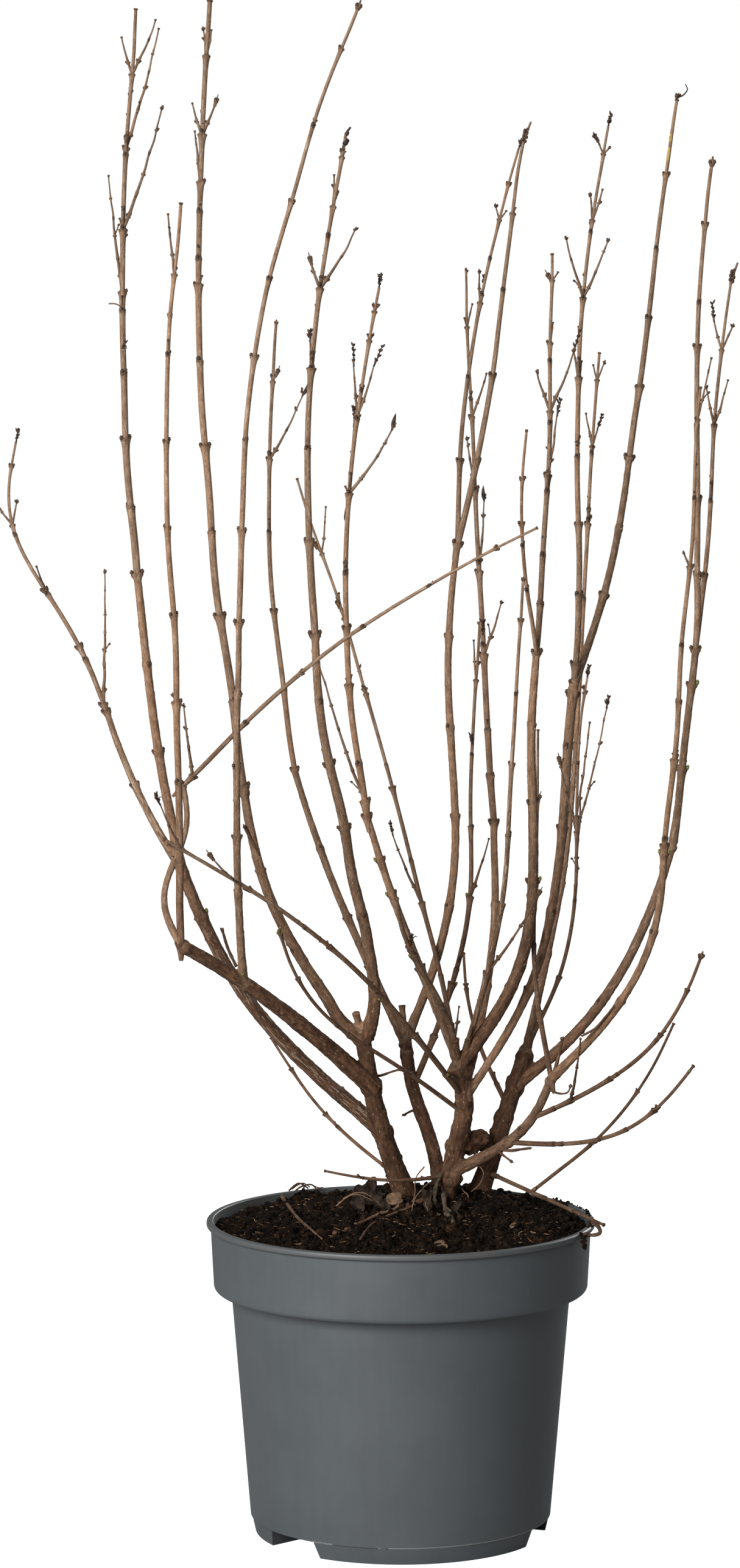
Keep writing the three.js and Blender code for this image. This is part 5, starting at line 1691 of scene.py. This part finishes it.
def scrap(centre, size, turn, curl, pitch, seed, thick, ragged):
    """A dead leaf or a chip: a curled ragged sheet of real thickness, tipped up at the back."""
    rings, sides = 9, 34
    a = turns(sides)
    around = np.stack([np.cos(a), np.sin(a), a * 0], 1)
    outline = 1 + ragged * (noise(around * 1.7 + seed, seed) + 0.5 * noise(around * 5 + seed, seed + 1))
    r = np.linspace(0.02, 1, rings)[:, None] * outline
    u, v = r * np.cos(a) * size[0], r * np.sin(a) * size[1]
    crumple = noise(np.stack([u.ravel() / 2.4, v.ravel() / 2.4, u.ravel() * 0], 1), seed).reshape(u.shape)
    w = curl * (v / size[1]) ** 2 * size[1] + 0.6 * ragged * size[1] * crumple
    cos, sin = math.cos(turn), math.sin(turn)
    ahead, rise = math.cos(math.radians(pitch)), math.sin(math.radians(pitch))
    flat = u * sin + v * cos
    sheet = np.stack([u * cos - v * sin, flat * ahead - w * rise, flat * rise + w * ahead], -1).reshape(-1, 3)
    points = np.concatenate([sheet, sheet - UP * thick]) + centre
    top = band(rings, sides)[:, FACING_UP]
    below = rings * sides
    edge = below - sides
    j = np.arange(sides)
    k = (j + 1) % sides
    rim = np.stack([edge + j, edge + below + j, edge + below + k, edge + k], 1)
    return points, (top, top[:, ::-1] + below, rim, j[None, ::-1], j[None, :] + below)


# Curled leaves and flat chips on the soil: (right, back, half sizes, turn, curl, pitch, how far up)
LEAVES = (
    (-19, 24, (8.5, 8), 0.5, 0.7, 55, 5), (-13, 14, (7, 4.5), 2.3, 0.9, 40, 3),
    (-27, 14, (6, 4.5), 2.1, 0.8, 35, 3), (16, 2, (3, 7), 0.2, 0.5, 60, 5),
    (33, -2, (5, 2.2), 1.1, 0.4, 30, 3),
)
CHIPS = (
    (-3.5, 12, (4.9, 4.0), 0.1, 0.15, 52, 5.0), (22, -58, (3.6, 2.6), 0.8, 0.2, 25, 2.6),
    (25, -61, (2.4, 1.6), 2.0, 0.2, 20, 2.4), (66, -20, (3.2, 1.4), 1.1, 0.2, 20, 2.6),
    (8, -33, (1.7, 1.3), 0.2, 0.2, 30, 2.6),
)


def leaf_litter(rows, thick, ragged):
    pile = Pile()
    for seed, (x, y, size, turn, curl, pitch, up) in enumerate(rows, 1):
        centre = np.array([x, y, soil_height(x, y) + up])
        pile.add(*scrap(centre, size, turn, curl, pitch, seed, thick, ragged))
    return pile


peat = soil_material()
soil_surface().piece("soil_surface", peat, "soil", ["soil"])
crumbs, straws, pale_straws = litter()
crumbs.piece("soil_crumbs", peat, "soil")
brown_straw = plain_material("brown_straw", (0.06, 0.028, 0.014), (0.2, 0.105, 0.05), 500.0)
straws.piece("soil_fibres", brown_straw, "soil")
pale_straw = plain_material("pale_straw", (0.13, 0.078, 0.04), (0.4, 0.28, 0.16), 500.0)
pale_straws.piece("soil_pale_fibres", pale_straw, "soil")
lying = Pile(*BARK_VALUES)
lay(lying, LYING)
lying.piece("ground_twigs", bark, "bark")
roots = Pile(*BARK_VALUES)
lay(roots, ROOTS)
grey_root = plain_material("grey_root", (0.014, 0.0095, 0.006), (0.1, 0.073, 0.047), 260.0)
roots.piece("dead_roots", grey_root, "bark")
dead_leaf = plain_material("dead_leaf", (0.006, 0.004, 0.0028), (0.046, 0.031, 0.021), 260.0)
leaf_litter(LEAVES, 0.35, 0.42).piece("dead_leaves", dead_leaf, "soil")
pale_chip = plain_material("pale_chip", (0.075, 0.044, 0.025), (0.2, 0.13, 0.08), 300.0)
leaf_litter(CHIPS, 0.8, 0.2).piece("bark_chips", pale_chip, "soil")

# ---------------------------------------------------------------- pot


LATHE_SIDES = dict(pot=224, core=96, hole=32)
BEAD_ROUND = 1.2
FOOT_ROUND = 0.8
MOUTH_EASE = 0.7
SHARP_ANGLE = 32  # degrees between faces that meet at a sharp edge


def lathe(profile, sides):
    """A surface turned round the pot's axis, from (radius, height) points that start and end on it."""
    profile = np.array(profile, float)
    turn = turns(sides)
    ring = profile[1:-1]
    x = ring[:, :1] * np.sin(turn)
    y = -ring[:, :1] * np.cos(turn)
    z = np.repeat(ring[:, 1:], sides, 1)
    middles = [[0, 0, profile[0, 1]], [0, 0, profile[-1, 1]]]
    points = np.concatenate([np.stack([x, y, z], -1).reshape(-1, 3), middles])
    return points, closed(len(ring), sides)


def arc(centre, radius, start, end, steps):
    """Profile points on a rounded corner, from one angle to another in degrees."""
    a = np.radians(np.linspace(start, end, steps))
    return [(centre[0] + radius * math.cos(t), centre[1] + radius * math.sin(t)) for t in a]


def straight(low, high, shares):
    """Profile points on the line from one to another."""
    return [(low[0] + (high[0] - low[0]) * t, low[1] + (high[1] - low[1]) * t) for t in shares]


def pot_outside():
    """The outside up to the rim, with rounded corners."""
    p = POT
    under = p["rim_top"] - p["bead_height"]
    collar_start = p["collar_foot"] + p["collar_round"]
    body_foot = (p["body_foot_radius"], p["skirt_height"])
    body_top = (p["body_top_radius"], p["collar_foot"])
    collar_foot = (p["collar_foot_radius"], collar_start)
    collar_top = (p["collar_top_radius"], under)
    profile = [(0, 0)]
    profile += arc((p["skirt_foot_radius"] - FOOT_ROUND, FOOT_ROUND), FOOT_ROUND, -90, 0, 4)
    profile += [(p["skirt_top_radius"] - 0.05, p["skirt_height"] - 0.35)]
    profile += [(p["skirt_top_radius"] - 0.35, p["skirt_height"])]
    profile += [(p["body_foot_radius"] - 0.25, p["skirt_height"])]
    profile += [(p["body_foot_radius"], p["skirt_height"] + 0.3)]
    profile += straight(body_foot, body_top, np.linspace(0.03, 0.99, 24))
    profile += [(p["body_top_radius"] + 0.5, p["collar_foot"] - 0.2)]
    profile += arc((p["collar_foot_radius"] - p["collar_round"], collar_start), p["collar_round"], -90, 0, 7)
    profile += straight(collar_foot, collar_top, np.linspace(0.1, 0.985, 8))
    profile += arc((p["rim_radius"] - BEAD_ROUND, under + BEAD_ROUND), BEAD_ROUND, -90, 0, 4)
    profile += arc((p["rim_radius"] - BEAD_ROUND, p["rim_top"] - BEAD_ROUND), BEAD_ROUND, 0, 90, 4)
    return profile + [(0, p["rim_top"])]


def pot_inside(inset, top):
    """The inside, drawn in by `inset` more than the wall. Its mouth is eased where it runs out at the rim."""
    p = POT
    draw = WALL + inset
    ledge = p["collar_foot"] + draw
    profile = [(0, p["floor"] + inset)]
    profile += [(p["skirt_top_radius"] - draw - p["floor_inset"], p["floor"] + inset)]
    profile += [(p["body_foot_radius"] - draw, p["skirt_height"] + inset)]
    profile += [(p["body_top_radius"] - draw, ledge)]
    if top <= p["rim_top"]:
        return profile + [(p["body_top_radius"] - draw, top), (0, top)]
    profile += [(p["collar_foot_radius"] - p["collar_round"] - draw, ledge)]
    profile += [(p["collar_foot_radius"] - draw, ledge + p["collar_round"])]
    mouth = p["collar_top_radius"] - draw + MOUTH_EASE
    profile += arc((mouth, p["rim_top"] - MOUTH_EASE), MOUTH_EASE, 180, 90, 4)
    return profile + [(mouth, top), (0, top)]


def tool(name, points, faces):
    """A body to cut with, in mm."""
    mesh = bpy.data.meshes.new(name)
    corners = (np.asarray(points) * MM).tolist()
    mesh.from_pydata(corners, [], [tuple(int(i) for i in face) for group in faces for face in group])
    obj = bpy.data.objects.new(name, mesh)
    bpy.context.scene.collection.objects.link(obj)
    return obj


def turned(points, bearing):
    """Points turned round the pot's axis. Bearings are counted from the front towards the right."""
    angle = math.radians(bearing)
    cos, sin = math.cos(angle), math.sin(angle)
    x, y, z = points.T
    return np.stack([x * cos - y * sin, x * sin + y * cos, z], 1)


def channel_bar(bearing, grow):
    """One drainage channel's bar of trapezoid section, grown all round."""
    foot, roof = CHANNEL["mouth_width"] / 2 + grow, CHANNEL["roof_width"] / 2 + grow
    height = POT["skirt_height"] + grow
    near, far = grow - CHANNEL["inner"], -CHANNEL["inner"] - CHANNEL["length"]
    section = ((-foot, -1.0), (foot, -1.0), (roof, height), (-roof, height))
    points = np.array([(x, y, z) for y in (near, far) for x, z in section])
    faces = [(3, 2, 1, 0), (4, 5, 6, 7), (1, 5, 4, 0), (2, 6, 5, 1), (3, 7, 6, 2), (0, 4, 7, 3)]
    return tool("channel", turned(points, bearing), [faces])


def drain_hole(bearing):
    """A plain round hole through the roof of a channel."""
    radius = DRAIN_HOLE["radius"]
    high = DRAIN_HOLE["length"] / 2
    points, faces = lathe([(0, -high), (radius, -high), (radius, high), (0, high)], LATHE_SIDES["hole"])
    return tool("drain", turned(points - (0, DRAIN_HOLE["from_middle"], 0), bearing), faces)


def cut(target, by):
    """Takes one body away from another."""
    change = target.modifiers.new("cut", "BOOLEAN")
    change.operation = "DIFFERENCE"
    change.solver = "EXACT"
    change.object = by
    mesh = bpy.data.meshes.new_from_object(target.evaluated_get(bpy.context.evaluated_depsgraph_get()))
    target.modifiers.clear()
    target.data = mesh
    bpy.data.objects.remove(by)


def hollow(inset, top, sides):
    """The pot's inside less the roofs and sides of its channels."""
    body = tool("hollow", *lathe(pot_inside(inset, top), sides))
    for bearing in CHANNEL["bearings"]:
        cut(body, channel_bar(bearing, WALL + inset))
    return body


def settle(obj):
    """Smooth faces, with sharp edges where they meet at more than the sharp angle."""
    obj.data.polygons.foreach_set("use_smooth", np.ones(len(obj.data.polygons), bool))
    obj.data.set_sharp_from_angle(angle=math.radians(SHARP_ANGLE))


def pot():
    pile = Pile()
    pile.add(*lathe(pot_outside(), LATHE_SIDES["pot"]))
    obj = pile.piece("pot_shell", pot_material(), "pot", ["pot"])
    above_rim = POT["rim_top"] + 4
    cut(obj, hollow(0.0, above_rim, LATHE_SIDES["pot"]))
    for bearing in CHANNEL["bearings"]:
        cut(obj, channel_bar(bearing, 0.0))
        cut(obj, drain_hole(bearing))
    settle(obj)


def soil_core():
    """The soil below the fine surface, down to the pot's floor."""
    gap = 0.3
    obj = hollow(gap, SOIL_CUT - 0.2, LATHE_SIDES["core"])
    obj.name = "soil_core"
    obj.data.materials.append(peat)
    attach(obj, "root")
    settle(obj)


pot()
soil_core()

# ---------------------------------------------------------------- floor, light and camera


AMBIENT = 0.2
WHITE = (1, 1, 1, 1)
HALF_FLOOR = 6
# Name, place, size and power of each lamp
LAMPS = (("key", (-1.42, -2.25, 1.25), 1.7, 138), ("back", (1.3, 2.3, 1.1), 1.0, 40))
LAMP_TARGET = Vector((0, 0, 0.4))


def white_floor():
    """A pale floor that the camera sees as white."""
    pale, tree, shader = material("floor_pale")
    grain = add(tree, "ShaderNodeTexNoise", Scale=3.0, Detail=2).outputs["Fac"]
    tree.links.new(grey_ramp(tree, grain, 0.3, 0.32, 0.7, 0.34), shader.inputs["Base Color"])
    shader.inputs["Roughness"].default_value = 1.0
    shader.inputs["Specular IOR Level"].default_value = 0.0
    seen = add(tree, "ShaderNodeLightPath").outputs["Is Camera Ray"]
    tree.links.new(seen, shader.inputs["Emission Strength"])
    shader.inputs["Emission Color"].default_value = WHITE
    mesh = bpy.data.meshes.new("floor")
    sides = ((-1, -1), (1, -1), (1, 1), (-1, 1))
    corners = [(HALF_FLOOR * right, HALF_FLOOR * back, 0) for right, back in sides]
    mesh.from_pydata(corners, [], [(0, 1, 2, 3)])
    mesh.materials.append(pale)
    floor = bpy.data.objects.new("floor", mesh)
    bpy.context.scene.collection.objects.link(floor)


def white_world():
    """A dim world that the camera sees as white."""
    world = bpy.data.worlds.new("studio")
    bpy.context.scene.world = world
    world.use_nodes = True
    sky = world.node_tree
    seen = add(sky, "ShaderNodeLightPath").outputs["Is Camera Ray"]
    background = sky.nodes["Background"]
    background.inputs["Color"].default_value = WHITE
    sky.links.new(maths(sky, "MULTIPLY_ADD", seen, 1 - AMBIENT, AMBIENT), background.inputs["Strength"])


def lamps():
    for name, place, size, power in LAMPS:
        light = bpy.data.lights.new(name, "AREA")
        light.size = size
        light.energy = power
        lamp = bpy.data.objects.new(name, light)
        lamp.location = place
        lamp.rotation_euler = (LAMP_TARGET - Vector(place)).to_track_quat("-Z", "Y").to_euler()
        bpy.context.scene.collection.objects.link(lamp)


EYE = (-0.0182, -2.747, 0.699)
LOOKS_DOWN = 0.092  # radians
FOCAL_PIXELS = 7711
PHOTO_HEIGHT = 2576


def camera():
    """Stands 2.75 m before the pot, 0.7 m high, and looks 5.3 degrees down through a long lens."""
    data = bpy.data.cameras.new("camera")
    data.lens = FOCAL_PIXELS / PHOTO_HEIGHT * data.sensor_width
    data.clip_end = 50
    cam = bpy.data.objects.new("camera", data)
    cam.location = EYE
    cam.rotation_euler = (math.pi / 2 - LOOKS_DOWN, 0, 0)
    bpy.context.scene.collection.objects.link(cam)
    bpy.context.scene.camera = cam
    bpy.context.scene.view_settings.view_transform = "Standard"


white_floor()
white_world()
lamps()
camera()
